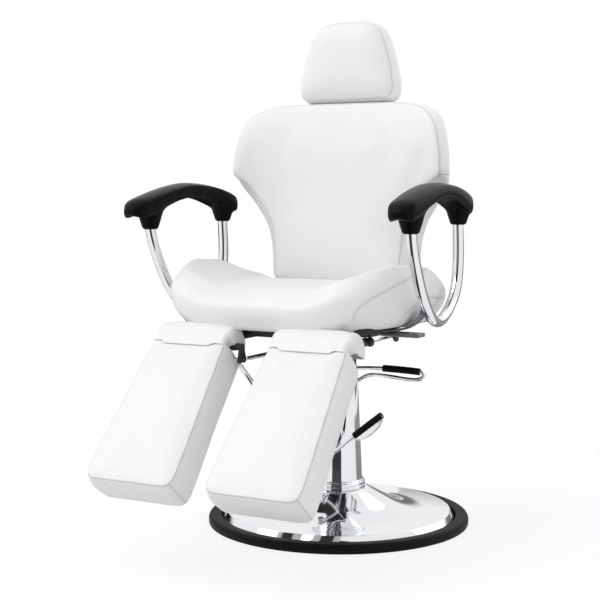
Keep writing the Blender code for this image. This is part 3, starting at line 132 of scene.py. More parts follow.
SEAT_WING_SIDE_RANGE = (0.70, 0.95)
SEAT_WING_REAR_RANGE = (0.0, 1.0)
SEAT_SPREAD_RANGE = (-0.2, 0.6)
SEAT_REAR_FALL_RANGE = (-0.05, 1.0)
SEAT_FRONT_FALL_RANGE = (0.20, 0.72)
SEAT_NOSE_DROP_RANGE = (0.5, 1.0)
SEAT_REAR_DROP_RANGE = (0.3, 1.0)
SEAT_SKIRT_RANGE = (0.87, 0.98)
SEAT_SIDE_SKIRT_RANGE = (0.955, 1.0)
SEAT_CELLS = (44, 38, 12)
SEAT_HELD_BELOW = -0.8
SEAT_SWELL = 0.006
SEAT_SEAM_STEP = 0.003
SEAT_MAIN_SEAM = ((0.274, 0.030, 0.622), (0.276, -0.040, 0.628), (0.277, -0.100, 0.632),
                  (0.280, -0.185, 0.622), (0.277, -0.252, 0.609), (0.269, -0.312, 0.593),
                  (0.265, -0.353, 0.579), (0.257, -0.380, 0.562), (0.246, -0.385, 0.543),
                  (0.234, -0.379, 0.524))
SEAT_LOWER_SEAM = ((0.285, 0.030, 0.558), (0.285, -0.055, 0.564), (0.284, -0.120, 0.569),
                   (0.282, -0.170, 0.570), (0.276, -0.198, 0.559), (0.267, -0.220, 0.545),
                   (0.254, -0.232, 0.529), (0.244, -0.238, 0.520))

# Boxed cushions. The half outlines run from the bottom centre to the top centre, in the frame of the
# hinge: across and height of the front seam, then of the widest line of the boxing. A roll is the
# width and height of the swelling along the front seam, a peak is the share of the depth where the
# boxing is widest, a tuck is how far the rear panel is drawn in, and a swell is the most that the
# cloth simulation may add
BOARD_GAP = 0.0003
CROWN_POWER = 2.5
EDGE_CELLS = (0.022, 0.07, 0.016)
RIB_STEPS = 24
BACK_OUTLINE = (
    (0.0000, 0.0880, 0.0000, 0.0840), (0.0700, 0.0880, 0.0800, 0.0840),
    (0.1300, 0.0885, 0.1540, 0.0845), (0.1570, 0.0925, 0.1830, 0.0900),
    (0.1650, 0.1040, 0.1910, 0.1040), (0.1675, 0.1420, 0.1930, 0.1450),
    (0.1730, 0.1990, 0.2010, 0.1950), (0.1800, 0.2275, 0.2150, 0.2330),
    (0.1925, 0.2530, 0.2310, 0.2580), (0.2110, 0.2800, 0.2510, 0.2860),
    (0.2300, 0.3080, 0.2690, 0.3090), (0.2520, 0.3265, 0.2780, 0.3260),
    (0.2730, 0.3375, 0.2810, 0.3420), (0.2776, 0.3480, 0.2815, 0.3530),
    (0.2763, 0.3640, 0.2805, 0.3680), (0.2738, 0.3880, 0.2775, 0.3910),
    (0.2688, 0.4170, 0.2725, 0.4200), (0.2620, 0.4420, 0.2655, 0.4460),
    (0.2520, 0.4650, 0.2555, 0.4710), (0.2360, 0.4845, 0.2395, 0.4910),
    (0.2145, 0.4985, 0.2180, 0.5050), (0.1860, 0.5080, 0.1885, 0.5140),
    (0.1440, 0.5135, 0.1460, 0.5185), (0.0800, 0.5145, 0.0800, 0.5195),
    (0.0000, 0.5145, 0.0000, 0.5195))
BACK_CORNERS = (3, 20)
BACK_CENTRE = 0.330
BACK_SEAM_DEPTH = 0.105
BACK_FLAT_HALF = 0.100
BACK_SWEEP_SPAN = 0.190
BACK_WING_FORWARD = 0.050
BACK_WING_THINNING = 0.030
BACK_ROLL = (0.062, 0.014)
BACK_CROWN = 0.008
BACK_PEAK = 0.38
BACK_TUCK = 0.020
BACK_SWELL = 0.006
BACK_RIB_POINT = 12
BACK_CELLS = (42, 12, 46)

HEAD_OUTLINE = (
    (0.0000, 0.5270, 0.0000, 0.5185), (0.0350, 0.5270, 0.0400, 0.5185),
    (0.0750, 0.5272, 0.0820, 0.5187), (0.1060, 0.5295, 0.1120, 0.5215),
    (0.1190, 0.5390, 0.1240, 0.5330), (0.1235, 0.5530, 0.1288, 0.5510),
    (0.1222, 0.5720, 0.1276, 0.5740), (0.1112, 0.6240, 0.1162, 0.6240),
    (0.0990, 0.6600, 0.1035, 0.6625), (0.0868, 0.6850, 0.0908, 0.6895),
    (0.0712, 0.7005, 0.0752, 0.7065), (0.0530, 0.7075, 0.0565, 0.7150),
    (0.0290, 0.7100, 0.0315, 0.7190), (0.0000, 0.7102, 0.0000, 0.7194))
HEAD_CORNERS = (4, 10)
HEAD_CENTRE = 0.610
HEAD_SEAM_DEPTH = 0.0965
HEAD_ROLL = (0.044, 0.014)
HEAD_CROWN = 0.007
HEAD_PEAK = 0.24
HEAD_TUCK = 0.030
HEAD_SWELL = 0.005
HEAD_CELLS = (24, 12, 20)

LEG_OUTLINE = (
    (0.0000, -0.3800, 0.0000, -0.3855), (0.0700, -0.3800, 0.0720, -0.3855),
    (0.0910, -0.3790, 0.0970, -0.3835), (0.1030, -0.3720, 0.1085, -0.3750),
    (0.1080, -0.3580, 0.1125, -0.3590), (0.1068, -0.3000, 0.1110, -0.3000),
    (0.1003, -0.1800, 0.1045, -0.1800), (0.0938, -0.0600, 0.0978, -0.0600),
    (0.0912, -0.0210, 0.0945, -0.0190), (0.0870, -0.0165, 0.0895, -0.0138),
    (0.0500, -0.0150, 0.0500, -0.0125), (0.0000, -0.0150, 0.0000, -0.0125))
LEG_CORNERS = (3, 9)
LEG_CENTRE = -0.200
LEG_SEAM_DEPTH = 0.080
LEG_ROLL = (0.034, 0.009)
LEG_CROWN = 0.004
LEG_PEAK = 0.42
LEG_TUCK = 0.006
LEG_SWELL = 0.005
LEG_RIB_POINT = 3
LEG_CELLS = (26, 12, 42)

# Flap over the leg rest's hinge: a wavy front edge with a tab in its middle, and a cheek at both ends.
# Shares run from 0 in the middle to 1 at the end
FLAP_CELLS = (84, 48)
FLAP_HALF = 0.0945
FLAP_RADIUS = 0.0440
FLAP_SKIN = 0.0022
FLAP_DROP = 0.011
FLAP_TAB = 0.009
FLAP_TAB_SHARE = 0.66
FLAP_WAVE_SHARE = 0.86
FLAP_TAB_RISE = 0.0030
FLAP_TAB_RISE_SHARE = 0.97
FLAP_TAB_RISE_FADE = (0.030, 0.075)
FLAP_CHEEK_SHARE = 0.66
FLAP_CHEEK_TURN = 0.35
FLAP_CHEEK_OPENING = 0.004
FLAP_CHEEK_PULL = 0.020
FLAP_CHEEK_CLOSING = (-0.012, 0.010)
FLAP_WRAP = math.radians(158.0)
FLAP_SLOT_START = math.radians(50.0)
FLAP_SLOT_WIDTH = 0.0062
FLAP_END_ROUND = 0.012
LEG_EARS = (0.0750, 0.2050)

# Sewing
SEAM_DEPTH = 0.0016
SEAM_WIDTH = 0.0016
SEAM_BAND = 0.010
SEAM_CUTS = 2
SEAM_REACH = 4
SEAM_STEP = 0.0012
STITCH_LENGTH = 0.0042
STITCH_PITCH = 0.0058
STITCH_RADIUS = 0.00055
STITCH_OFFSET = 0.0034
STITCH_LIFT = 0.4
STITCH_SEGMENTS = 6
STITCH_RINGS = 4

# Cloth simulation of the cushions
CLOTH_FRAMES = 20
CLOTH_SETTINGS = {"quality": 5, "mass": 0.3, "tension_stiffness": 15.0,
                  "compression_stiffness": 15.0, "shear_stiffness": 8.0, "bending_stiffness": 2.0,
                  "use_pressure": True, "uniform_pressure_force": 4.0}

# Foot and column. Ring: inset from the outer radius, share of the height, rounding. Collar: inset from
# the outer radius, height above its foot or depth below its top, rounding
RING_CORNERS = ((0.031, 0.0, 0.0), (0.001, 0.0, 0.002), (0.0, 0.6, 0.004), (0.005, 1.0, 0.005),
                (0.031, 1.0, 0.003))
DISH_WALL = 0.0025
DISH_CREST_INSET = 0.014
DISH_CREST_HEIGHT = 0.032
DISH_CREST_ROUND = 0.002
DISH_RIM_ROUND = 0.001
DISH_STEP = 0.0005
DISH_THROAT = 0.0626
DISH_LIP = 0.0735
DISH_LIP_ROUND = 0.008
DISH_BELL_FOOT = 0.172
DISH_BELL_ROUND = 0.045
COLUMN_TOP_RADIUS = 0.0452
COLUMN_WALL = 0.002
COLUMN_TOP_ROUND = 0.0012
COLLAR_FOOT = ((0.0065, 0.0, 0.0), (0.0, 0.0, 0.0010), (0.0, 0.0068, 0.0010),
               (0.0016, 0.0076, 0.0004), (0.0016, 0.0096, 0.0004), (0.0006, 0.0104, 0.0006),
               (0.0010, 0.0158, 0.0010), (0.0034, 0.0168, 0.0005))
COLLAR_TOP = ((0.0034, 0.0010, 0.0010), (0.0059, 0.0, 0.0004), (0.0065, 0.0010, 0.0))

# Arm tubes: a line of places along the arm with the level of each, held at both ends while it is
# smoothed
ARM_TUBE_RADIUS = 0.0125
ARM_FRONT_Y = -0.318
ARM_REAR_Y = -0.022
ARM_LINE = ((ARM_FRONT_Y, "top"), (ARM_FRONT_Y, "neck"), (-0.317, "bend"), (-0.2915, "shoulder"),
            (-0.239, "low"), (-0.150, "bottom"), (-0.039, "low"), (-0.018, "shoulder"),
            (-0.021, "bend"), (ARM_REAR_Y, "neck"), (ARM_REAR_Y, "top"))
ARM_NECK_DEPTH = 0.026
ARM_BEND_DEPTH = 0.040
ARM_SHOULDER_SHARE = 0.60
ARM_LOW_SHARE = 0.25
ARM_RELAX_TURNS = 40
ARM_HELD_POINTS = 7
ARM_MIDDLE_Y = -0.170
ARM_TOE = 0.0445
ARM_SHIFT = 0.003

# Arm pads. Shares run from 0 in the pad's middle to 1 at its end, and a neck's flare is given as
# radius, height above its foot and rounding
PAD_CELLS = (10, 48, 6)
PAD_REMESH = 0.0022
PAD_SMOOTHING = 36
PAD_TOP = 0.8255
PAD_HALF_WIDTH = 0.0355
PAD_END_NARROWING = 0.20
PAD_END_CORNER = 0.026
PAD_UNDERSIDE_INSET = 0.18
PAD_THICKNESS = 0.030
PAD_END_THICKNESS = 0.040
PAD_THICKENING = (0.2, 0.85)
PAD_NOSE_START = 0.80
PAD_NOSE_SPAN = 0.20
PAD_NOSE_DEPTH = 0.92
PAD_FRONT_DROP = 0.046
PAD_FRONT_BOW = 1.35
PAD_REAR_DROP = 0.036
PAD_REAR_BOW = 2.1
PAD_CROWN = 0.006
NECK_FRONT_Z = 0.7170
NECK_REAR_Z = 0.7290
NECK_FLARE = ((0.0, 0.0, 0.0), (0.0186, 0.0, 0.003), (0.0200, 0.008, 0.005), (0.0247, 0.0205, 0.008),
              (0.0280, 0.035, 0.006), (0.0288, 0.045, 0.0), (0.0294, 0.052, 0.0), (0.0300, 0.060, 0.0),
              (0.0304, 0.068, 0.0), (0.0308, 0.076, 0.0), (0.0310, 0.085, 0.0), (0.0, 0.085, 0.0))
NECK_SWEEP = 28.0
NECK_SWEEP_START = 0.030
NECK_HALF_WIDTH = 0.0280
BORE_PLAY = 0.0004
BORE_LENGTH = 0.060
BORE_DEPTH = 0.0297

# Straps under the seat and their ball knobs: the strap's line across and up, the bracket's corners
# across and up, the knob's outline as radius, height and rounding
STRAP_WIDTH = 0.036
STRAP_THICKNESS = 0.005
STRAP_LINE = ((0.128, 0.4986), (0.190, 0.4986), (0.230, 0.4988), (0.262, 0.5040), (0.287, 0.5175),
              (0.3045, 0.5370), (0.3082, 0.5490))
STRAP_SLOT = (0.1385, 0.1825)
STRAP_SLOT_WIDTH = 0.0085
STRAP_SLOT_CUT = 0.02
STRAP_BEVEL = 0.0012
STRAP_BEVEL_STEPS = 3
BRACKET_LOW = (0.212, 0.4865)
BRACKET_HIGH = (0.304, 0.4955)
KNOB_OUTLINE = ((0.0, 0.5012, 0.0), (0.0034, 0.5012, 0.0), (0.0034, 0.4950, 0.0),
                (0.0110, 0.4945, 0.0008), (0.0110, 0.4925, 0.0008), (0.0036, 0.4920, 0.0006),
                (0.0036, 0.4795, 0.0006), (0.0062, 0.4785, 0.0010), (0.0098, 0.4735, 0.0030),
                (0.0098, 0.4645, 0.0040), (0.0055, 0.4590, 0.0040), (0.0, 0.4588, 0.0))

# Levers on the column, across and up in the frame of their pivot
BRAKE_RISE = math.radians(7.0)
BRAKE_LOOP = ((0.0, 0.0), (0.030, 0.0165), (0.062, 0.0205), (0.110, 0.0192), (0.180, 0.0120),
              (0.2300, 0.0040), (0.2450, 0.0000), (0.2475, -0.0060), (0.2410, -0.0128),
              (0.2290, -0.0150), (0.2090, -0.0130), (0.1714, -0.0056), (0.1334, 0.0012),
              (0.1130, 0.0030), (0.0966, -0.0010), (0.0787, -0.0083), (0.045, -0.0170),
              (0.014, -0.0110))
BRAKE_SLEEVE = ((0.1480, 0.0163), (0.180, 0.0120), (0.210, 0.0075), (0.2390, 0.0026))
PEDAL_RISE = math.radians(38.0)
PEDAL_ROD = ((0.0, 0.0), (0.070, 0.0012), (0.140, 0.0030), (0.214, 0.0030))
PEDAL_SLEEVE = ((0.1290, 0.0030), (0.160, 0.0030), (0.190, 0.0030), (0.2190, 0.0030))
PEDAL_PADDLE = ((0.1270, -0.0030), (0.1290, -0.0095), (0.1461, -0.0150), (0.1667, -0.0182),
                (0.1879, -0.0165), (0.2046, -0.0118), (0.2150, -0.0045), (0.2140, 0.0020),
                (0.1700, 0.0015))
LEVER_RADIUS = 0.0046
LEVER_EYE_RADIUS = 0.011
LEVER_EYE_LENGTH = 0.0158
LEVER_BORE = 0.0053
SLEEVE_RADIUS = 0.0082
SLEEVE_BEVEL = 0.003
SLEEVE_BEVEL_STEPS = 4
PADDLE_THICKNESS = 0.003
PADDLE_RIM_RADIUS = 0.0022

# Holding bars and release levers of the leg rests
BAR_X = 0.0280
BAR_RADIUS = 0.0045
BAR_PIN_RADIUS = 0.0030
BAR_NOSE = 0.007
BAR_ROUND = 0.0015
BAR_PIN_ROUND = 0.0006
RELEASE_PIVOT = (0.0473, -0.4008, 0.4368)
RELEASE_RADIUS = 0.0055
RELEASE_LENGTH = 0.115
RELEASE_DROP = math.radians(40.0)
RELEASE_BORE = 0.0043
RELEASE_EYE_RADIUS = 0.0065
RELEASE_START = 0.005
RELEASE_ROUND = 0.002
EYE_ROUND = 0.0012

# Fineness of meshes and lines, and the angles above which an edge stays a crease
TURNED_STEPS = 160
BAR_STEPS = 32
EYE_STEPS = 40
KNOB_STEPS = 48
NECK_STEPS = 48
CORNER_STEPS = 5
BELL_STEPS = 18
TUBE_BEVEL_STEPS = 6
OUTLINE_STEP = 0.002
TUBE_STEP = 0.004
LEVER_STEP = 0.003
MERGE_DISTANCE = 1e-6
SAME_PLACE = 1e-4
TURNED_CREASE = math.radians(32.0)
STRAP_CREASE = math.radians(35.0)
TUBE_CREASE = math.radians(40.0)
FLAP_CREASE = math.radians(50.0)


# Small tools for modelling

def pick(*pieces):
    """Make these the only selected objects, the first one active."""
    if bpy.context.object and bpy.context.object.mode != "OBJECT":
        bpy.ops.object.mode_set(mode="OBJECT")
    bpy.ops.object.select_all(action="DESELECT")
    for piece in pieces:
        piece.select_set(True)
    if pieces:
        bpy.context.view_layer.objects.active = pieces[0]


def open_edit(piece):
    """Enter edit mode with every vertex selected."""
    pick(piece)
    bpy.ops.object.mode_set(mode="EDIT")
    bpy.ops.mesh.select_mode(type="VERT")
    bpy.ops.mesh.select_all(action="SELECT")


def close_edit():
    bpy.ops.object.mode_set(mode="OBJECT")


def apply(piece, kind, **settings):
    """Add a modifier with these settings and apply it at once."""
    pick(piece)
    modifier = piece.modifiers.new(kind.lower(), kind)
    for name, value in settings.items():
        setattr(modifier, name, value)
    bpy.ops.object.modifier_apply(modifier=modifier.name)


def named(name):
    """The object just added, under its own name."""
    piece = bpy.context.object
    piece.name = name
    piece.data.name = name
    return piece


def reshape(piece, rule):
    """Move every vertex to the place that the rule gives for it."""
    for vertex in piece.data.vertices:
        vertex.co = rule(*vertex.co)
    piece.data.update()


def smooth(piece, angle=None):
    """Shade smooth, with edges sharper than the angle left as creases."""
    pick(piece)
    if angle is None:
        bpy.ops.object.shade_smooth()
    else:
        bpy.ops.object.shade_smooth_by_angle(angle=angle)


def tidy_normals(piece):
    """Merge doubles and turn the faces outwards."""
    open_edit(piece)
    bpy.ops.mesh.remove_doubles(threshold=MERGE_DISTANCE)
    bpy.ops.mesh.delete_loose()
    bpy.ops.mesh.select_all(action="SELECT")
    bpy.ops.mesh.normals_make_consistent(inside=False)
    close_edit()


def mirrored(piece, name):
    """A copy of a piece on the chair's other side, with a mesh of its own."""
    twin = piece.copy()
    twin.data = piece.data.copy()
    twin.name = name
    twin.data.name = name
    bpy.context.collection.objects.link(twin)
    twin.data.transform(Matrix.Diagonal((-1.0, 1.0, 1.0, 1.0)))
    twin.data.flip_normals()
    return twin


def joined(first, *others):
    pick(first, *others)
    bpy.ops.object.join()
    return first


def ease(value, start, end):
    """Smooth step from 0 at start to 1 at end."""
    share = min(max((value - start) / (end - start), 0.0), 1.0)
    return share * share * (3 - 2 * share)


def spread(cells, edge=0.0):
    """Cuts between -1 and 1: evenly spaced, with one more close to each end."""
    cuts = [-1 + 2 * step / cells for step in range(1, cells)]
    if edge:
        cuts += [edge - 1, 1 - edge]
    return sorted(cuts)


def cage(name, columns, layers, rows):
    """A cube from -1 to 1 cut across at these places along X, Y and Z."""
    pick()
    bpy.ops.mesh.primitive_cube_add(size=2.0)
    piece = named(name)
    open_edit(piece)
    for axis, cuts in enumerate((columns, layers, rows)):
        normal = Vector((axis == 0, axis == 1, axis == 2))
        for cut in cuts:
            bpy.ops.mesh.select_all(action="SELECT")
            bpy.ops.mesh.bisect(plane_co=normal * cut, plane_no=normal)
    close_edit()
    return piece


def node_box(node, place):
    """Low and high corner of a CAD node in a tilted frame."""
    source = frame["nodes"][node]
    back = place.inverted()
    points = [back @ (source.matrix_world @ vertex.co) for vertex in source.data.vertices]
    low = Vector([min(point[axis] for point in points) for axis in range(3)])
    high = Vector([max(point[axis] for point in points) for axis in range(3)])
    return low, high


# Shader graphs

class Value:
    """A shader socket that takes part in sums as a number does."""

    def __init__(self, graph, socket):
        self.graph = graph
        self.socket = socket

    def maths(self, operation, *others):
        inputs = dict(enumerate((self, *others)))
        return self.graph.node("ShaderNodeMath", {"operation": operation}, inputs)

    def __add__(self, other):
        return self.maths("ADD", other)

    def __mul__(self, other):
        return self.maths("MULTIPLY", other)

    def __sub__(self, other):
        return self.maths("SUBTRACT", other)

    def __rsub__(self, other):
        return self * -1.0 + other

    __radd__ = __add__
    __rmul__ = __mul__

    def limited(self):
        return self.graph.node("ShaderNodeClamp", {}, {"Value": self})


class Graph:
    """A node tree that is built one node at a time."""

    def __init__(self, tree):
        self.tree = tree

    def node(self, kind, settings, sockets, output=0):
        made = self.tree.nodes.new(kind)
        for name, value in settings.items():
            setattr(made, name, value)
        for name, value in sockets.items():
            self.feed(made.inputs[name], value)
        return Value(self, made.outputs[output])

    def feed(self, socket, value):
        if isinstance(value, Value):
            self.tree.links.new(value.socket, socket)
        else:
            socket.default_value = value

    def noise(self, place, scale, detail=2.0):
        return self.node("ShaderNodeTexNoise", {}, {"Vector": place, "Scale": scale,
                                                    "Detail": detail})

    def tint(self, colour, level):
        return self.node("ShaderNodeVectorMath", {"operation": "SCALE"},
                         {"Vector": colour, "Scale": level})

    def bump(self, height, distance, strength):
        return self.node("ShaderNodeBump", {}, {"Height": height, "Distance": distance,
                                                "Strength": strength})


def paint(name, look):
    """A material whose look gives the Principled sockets their graphs."""
    material = bpy.data.materials.new(name)
    material.use_nodes = True
    graph = Graph(material.node_tree)
    shader = material.node_tree.nodes["Principled BSDF"]
    place = graph.node("ShaderNodeTexCoord", {}, {}, "Object")
    sockets = look(graph, place)
    for socket, value in sockets.items():
        graph.feed(shader.inputs[socket], value)
    return material


def seen(graph):
    """1 for camera, mirror and glass rays, 0 for the rays that light the chair."""
    path = graph.node("ShaderNodeLightPath", {}, {}, "Is Camera Ray")
    glossy = Value(graph, path.socket.node.outputs["Is Glossy Ray"])
    through = Value(graph, path.socket.node.outputs["Is Transmission Ray"])
    return (path + glossy + through).limited()


def leather_look(graph, place):
    """Grained white leather, a little darker in its seams, where shade is painted into the seam
    grooves.
    """
    cells = graph.node("ShaderNodeTexVoronoi", {"feature": "DISTANCE_TO_EDGE"},
                       {"Vector": place, "Scale": 520.0})
    fine = graph.noise(place, 1500.0)
    broad = graph.noise(place, 7.0, 3.0)
    # Painted shade: the seam weight darkens the leather's colour in the seam grooves
    seam = graph.node("ShaderNodeAttribute", {"attribute_name": "seam"}, {}, "Fac")
    height = cells.maths("MINIMUM", 0.25) * 1.6 + fine * 0.35
    level = 1.0 - (broad - 0.5) * 0.05 - seam * 0.20
    return {"Base Color": graph.tint(LEATHER_COLOUR, level),
            "Roughness": 0.40 + broad * 0.10 + fine * 0.06,
            "Normal": graph.bump(height, 0.00022, 0.35)}


def thread_look(graph, place):
    """Twisted sewing thread."""
    twist = graph.noise(place, 2600.0)
    return {"Base Color": graph.tint(THREAD_COLOUR, 0.92 + twist * 0.16),
            "Roughness": 0.55 + twist * 0.2,
            "Normal": graph.bump(twist, 0.0002, 0.5)}


def pu_look(graph, place):
    """Black moulded foam with a closed skin."""
    fine = graph.noise(place, 900.0, 3.0)
    broad = graph.noise(place, 12.0, 2.0)
    return {"Base Color": graph.tint(PU_COLOUR, 0.9 + broad * 0.2),
            "Roughness": 0.20 + broad * 0.08 + fine * 0.05,
            "Specular IOR Level": PU_SPECULAR,
            "Normal": graph.bump(fine, 0.00025, 0.25)}


def rubber_look(graph, place):
    """Black rubber with a trace of dust."""
    fine = graph.noise(place, 600.0, 3.0)
    dust = graph.noise(place, 18.0, 4.0)
    return {"Base Color": graph.tint(RUBBER_COLOUR, 0.8 + dust * 0.5),
            "Roughness": 0.40 + dust * 0.14 + fine * 0.08,
            "Specular IOR Level": DULL_SPECULAR,
            "Normal": graph.bump(fine, 0.0003, 0.3)}


def chrome_look(graph, place):
    """Polished chrome with faint smears."""
    smear = graph.noise(place, 14.0, 4.0)
    fine = graph.noise(place, 420.0, 2.0)
    return {"Base Color": graph.tint(CHROME_COLOUR, 0.97 + smear * 0.06),
            "Metallic": 1.0,
            "Roughness": 0.035 + smear * 0.05 + fine * 0.015}


def painted_look(graph, place):
    """Black paint with a slight peel."""
    peel = graph.noise(place, 260.0, 2.0)
    broad = graph.noise(place, 10.0, 3.0)
    return {"Base Color": graph.tint(PAINTED_COLOUR, 0.85 + broad * 0.3),
            "Roughness": 0.36 + broad * 0.14 + peel * 0.05,
            "Normal": graph.bump(peel, 0.0003, 0.3)}


def brushed(colour, roughness):
    """Look of steel with a drawn grain."""
    def look(graph, place):
        drawn = graph.node("ShaderNodeMapping", {}, {"Vector": place, "Scale": BRUSHED_STRETCH})
        grain = graph.noise(drawn, 1.0, 4.0)
        broad = graph.noise(place, 16.0, 3.0)
        return {"Base Color": graph.tint(colour, 0.86 + grain * 0.18 + broad * 0.10),
                "Metallic": 1.0,
                "Roughness": roughness + grain * 0.12 + broad * 0.06,
                "Normal": graph.bump(grain, 0.0001, 0.25)}
    return look


def board_look(graph, place):
    """Board under a thin black lining cloth."""
    weave, weft = [graph.node("ShaderNodeTexWave", {"bands_direction": way},
                              {"Vector": place, "Scale": 240.0, "Distortion": 1.0})
                   for way in ("X", "Y")]
    fluff = graph.noise(place, 300.0, 4.0)
    return {"Base Color": graph.tint(BOARD_COLOUR, 0.7 + fluff * 0.6),
            "Roughness": 0.78 + fluff * 0.15,
            "Normal": graph.bump(weave * weft + fluff * 0.5, 0.0005, 0.5)}


def plastic_look(graph, place):
    """Glossy black plastic."""
    fine = graph.noise(place, 500.0, 2.0)
    broad = graph.noise(place, 25.0, 2.0)
    return {"Base Color": graph.tint(PLASTIC_COLOUR, 0.9 + broad * 0.2),
            "Roughness": 0.18 + broad * 0.10 + fine * 0.04,
            "Normal": graph.bump(fine, 0.0001, 0.2)}


def floor_look(graph, place):
    """Pale floor, brighter to the rays that see it than to those that light the chair."""
    level = 0.72 + seen(graph) * 0.25 + graph.noise(place, 3.0, 2.0) * 0.01
    return {"Base Color": graph.tint(FLOOR_COLOUR, level),
            "Roughness": 0.75 + graph.noise(place, 9.0, 2.0) * 0.1,
            "Specular IOR Level": DULL_SPECULAR}


def flag_look(tone, top, fade):
    """Look of a dark panel whose upper edge fades out over this height."""
    def look(graph, place):
        nap = graph.noise(place, 4.0, 2.0)
        sockets = {"Base Color": graph.tint((tone, tone, tone), 0.9 + nap * 0.2),
                   "Roughness": 0.9 + nap * 0.05,
                   "Specular IOR Level": DULL_SPECULAR}
        if fade:
            height = graph.node("ShaderNodeSeparateXYZ", {}, {"Vector": place}, "Z")
            sockets["Alpha"] = ((top - height) * (1.0 / fade)).limited()
        return sockets
    return look


FINISHES = {
    "leather_white": paint("leather_white", leather_look),
    "thread": paint("thread", thread_look),
    "pu_black": paint("pu_black", pu_look),
    "rubber_black": paint("rubber_black", rubber_look),
    "chrome": paint("chrome", chrome_look),
    "painted_black": paint("painted_black", painted_look),
    "steel_grey": paint("steel_grey", brushed(STEEL_GREY_COLOUR, STEEL_GREY_ROUGHNESS)),
    "steel_ground": paint("steel_ground", brushed(STEEL_GROUND_COLOUR, STEEL_GROUND_ROUGHNESS)),
    "board_black": paint("board_black", board_look),
    "plastic_black": paint("plastic_black", plastic_look),
}


def coat(piece, finish):
    piece.data.materials.clear()
    piece.data.materials.append(FINISHES[finish])


def dress(piece, slot, body, node):
    """Give a piece its finish and its body, and hide the CAD node that it stands for."""
    coat(piece, slot)
    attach(piece, body)
    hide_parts(node)


def dress_pair(piece, slot, body, node):
    """Dress a piece of the left side and its mirror image on the right."""
    twin = mirrored(piece, piece.name.replace("left", "right"))
    for copied, side in ((piece, "left_"), (twin, "right_")):
        dress(copied, slot, side + body, side + node)
    return piece, twin


# Sewing on a finished cushion

def surface(piece):
    """The skin of a piece, to find nearest points on."""
    corners = [vertex.co.copy() for vertex in piece.data.vertices]
    faces = [tuple(face.vertices) for face in piece.data.polygons]
    return BVHTree.FromPolygons(corners, faces)


def even_path(points, step, closed=False):
    """Points at even distances along a smooth line through the given ones."""
    count = len(points)
    dense = []
    spans = count if closed else count - 1
    for span in range(spans):
        if closed:
            ring = [points[(span + shift) % count] for shift in (-1, 0, 1, 2)]
        else:
            ring = [points[min(max(span + shift, 0), count - 1)] for shift in (-1, 0, 1, 2)]
        before, start, end, after = (Vector(point) for point in ring)
        pieces = max(int((end - start).length / step * 2), 1)
        for part in range(pieces):
            t = part / pieces
            dense.append(0.5 * (2 * start + (end - before) * t
                                + (2 * before - 5 * start + 4 * end - after) * t * t
                                + (3 * start - before - 3 * end + after) * t ** 3))
    final = Vector(points[0] if closed else points[-1])
    dense.append(final)
    even = [dense[0]]
    walked = 0.0
    for before, after in zip(dense, dense[1:]):
        length = (after - before).length
        while length > 0 and walked + length >= step:
            before = before.lerp(after, (step - walked) / length)
            length = (after - before).length
            walked = 0.0
            even.append(before.copy())
        walked += length
    if not closed and walked > step / 2:
        even.append(final)
    return even


def press_seams(piece, paths):
    """Refine the mesh along sewn lines, draw a groove in along each, and store in the seam attribute
    how much painted shade the leather gets there.
    """
    points = [point for path in paths for point in path]
    near = KDTree(len(points))
    for index, point in enumerate(points):
        near.insert(point, index)
    near.balance()
    open_edit(piece)
    bpy.ops.mesh.select_mode(type="FACE")
    bpy.ops.mesh.select_all(action="DESELECT")
    close_edit()
    for face in piece.data.polygons:
        face.select = near.find(face.center)[2] < SEAM_BAND
    bpy.ops.object.mode_set(mode="EDIT")
    bpy.ops.mesh.subdivide(number_cuts=SEAM_CUTS)
    bpy.ops.mesh.select_mode(type="VERT")
    close_edit()
    # Seam attribute: the weight of the painted shade in the grooves, which the leather reads
    shade = piece.data.attributes.new("seam", "FLOAT", "POINT")
    normals = [vertex.normal.copy() for vertex in piece.data.vertices]
    for vertex, normal in zip(piece.data.vertices, normals):
        away = near.find(vertex.co)[2] / SEAM_WIDTH
        if away < SEAM_REACH:
            pull = math.exp(-away * away)
            vertex.co -= normal * SEAM_DEPTH * pull
            shade.data[vertex.index].value = pull
    piece.data.update()


def stitches(name, piece, rows):
    """Short threads laid along rows of points on a cushion, as one object."""
    skin = surface(piece)
    pick()
    bpy.ops.mesh.primitive_uv_sphere_add(segments=STITCH_SEGMENTS, ring_count=STITCH_RINGS,
                                         radius=STITCH_RADIUS)
    thread = named(name)
    thread.data.transform(Matrix.Diagonal((STITCH_LENGTH / (2 * STITCH_RADIUS), 1.0, 1.0, 1.0)))
    corners = [vertex.co.copy() for vertex in thread.data.vertices]
    faces = [tuple(face.vertices) for face in thread.data.polygons]
    all_corners = []
    all_faces = []
    for row, offset in rows:
        for index in range(1, len(row) - 1):
            along = (row[index + 1] - row[index - 1]).normalized()
            spot, normal = skin.find_nearest(row[index])[:2]
            across = normal.cross(along).normalized()
            spot, normal = skin.find_nearest(spot + across * offset)[:2]
            along = (along - normal * along.dot(normal)).normalized()
            across = normal.cross(along)
            turn = Matrix((along, across, normal)).transposed()
            first = len(all_corners)
            lift = spot + normal * STITCH_RADIUS * STITCH_LIFT
            all_corners += [lift + turn @ corner for corner in corners]
            all_faces += [tuple(first + number for number in face) for face in faces]
    mesh = bpy.data.meshes.new(name)
    mesh.from_pydata(all_corners, [], all_faces)
    old = thread.data
    thread.data = mesh
    bpy.data.meshes.remove(old)
    thread.location = (0.0, 0.0, 0.0)
    smooth(thread)
    return thread


# Cushions

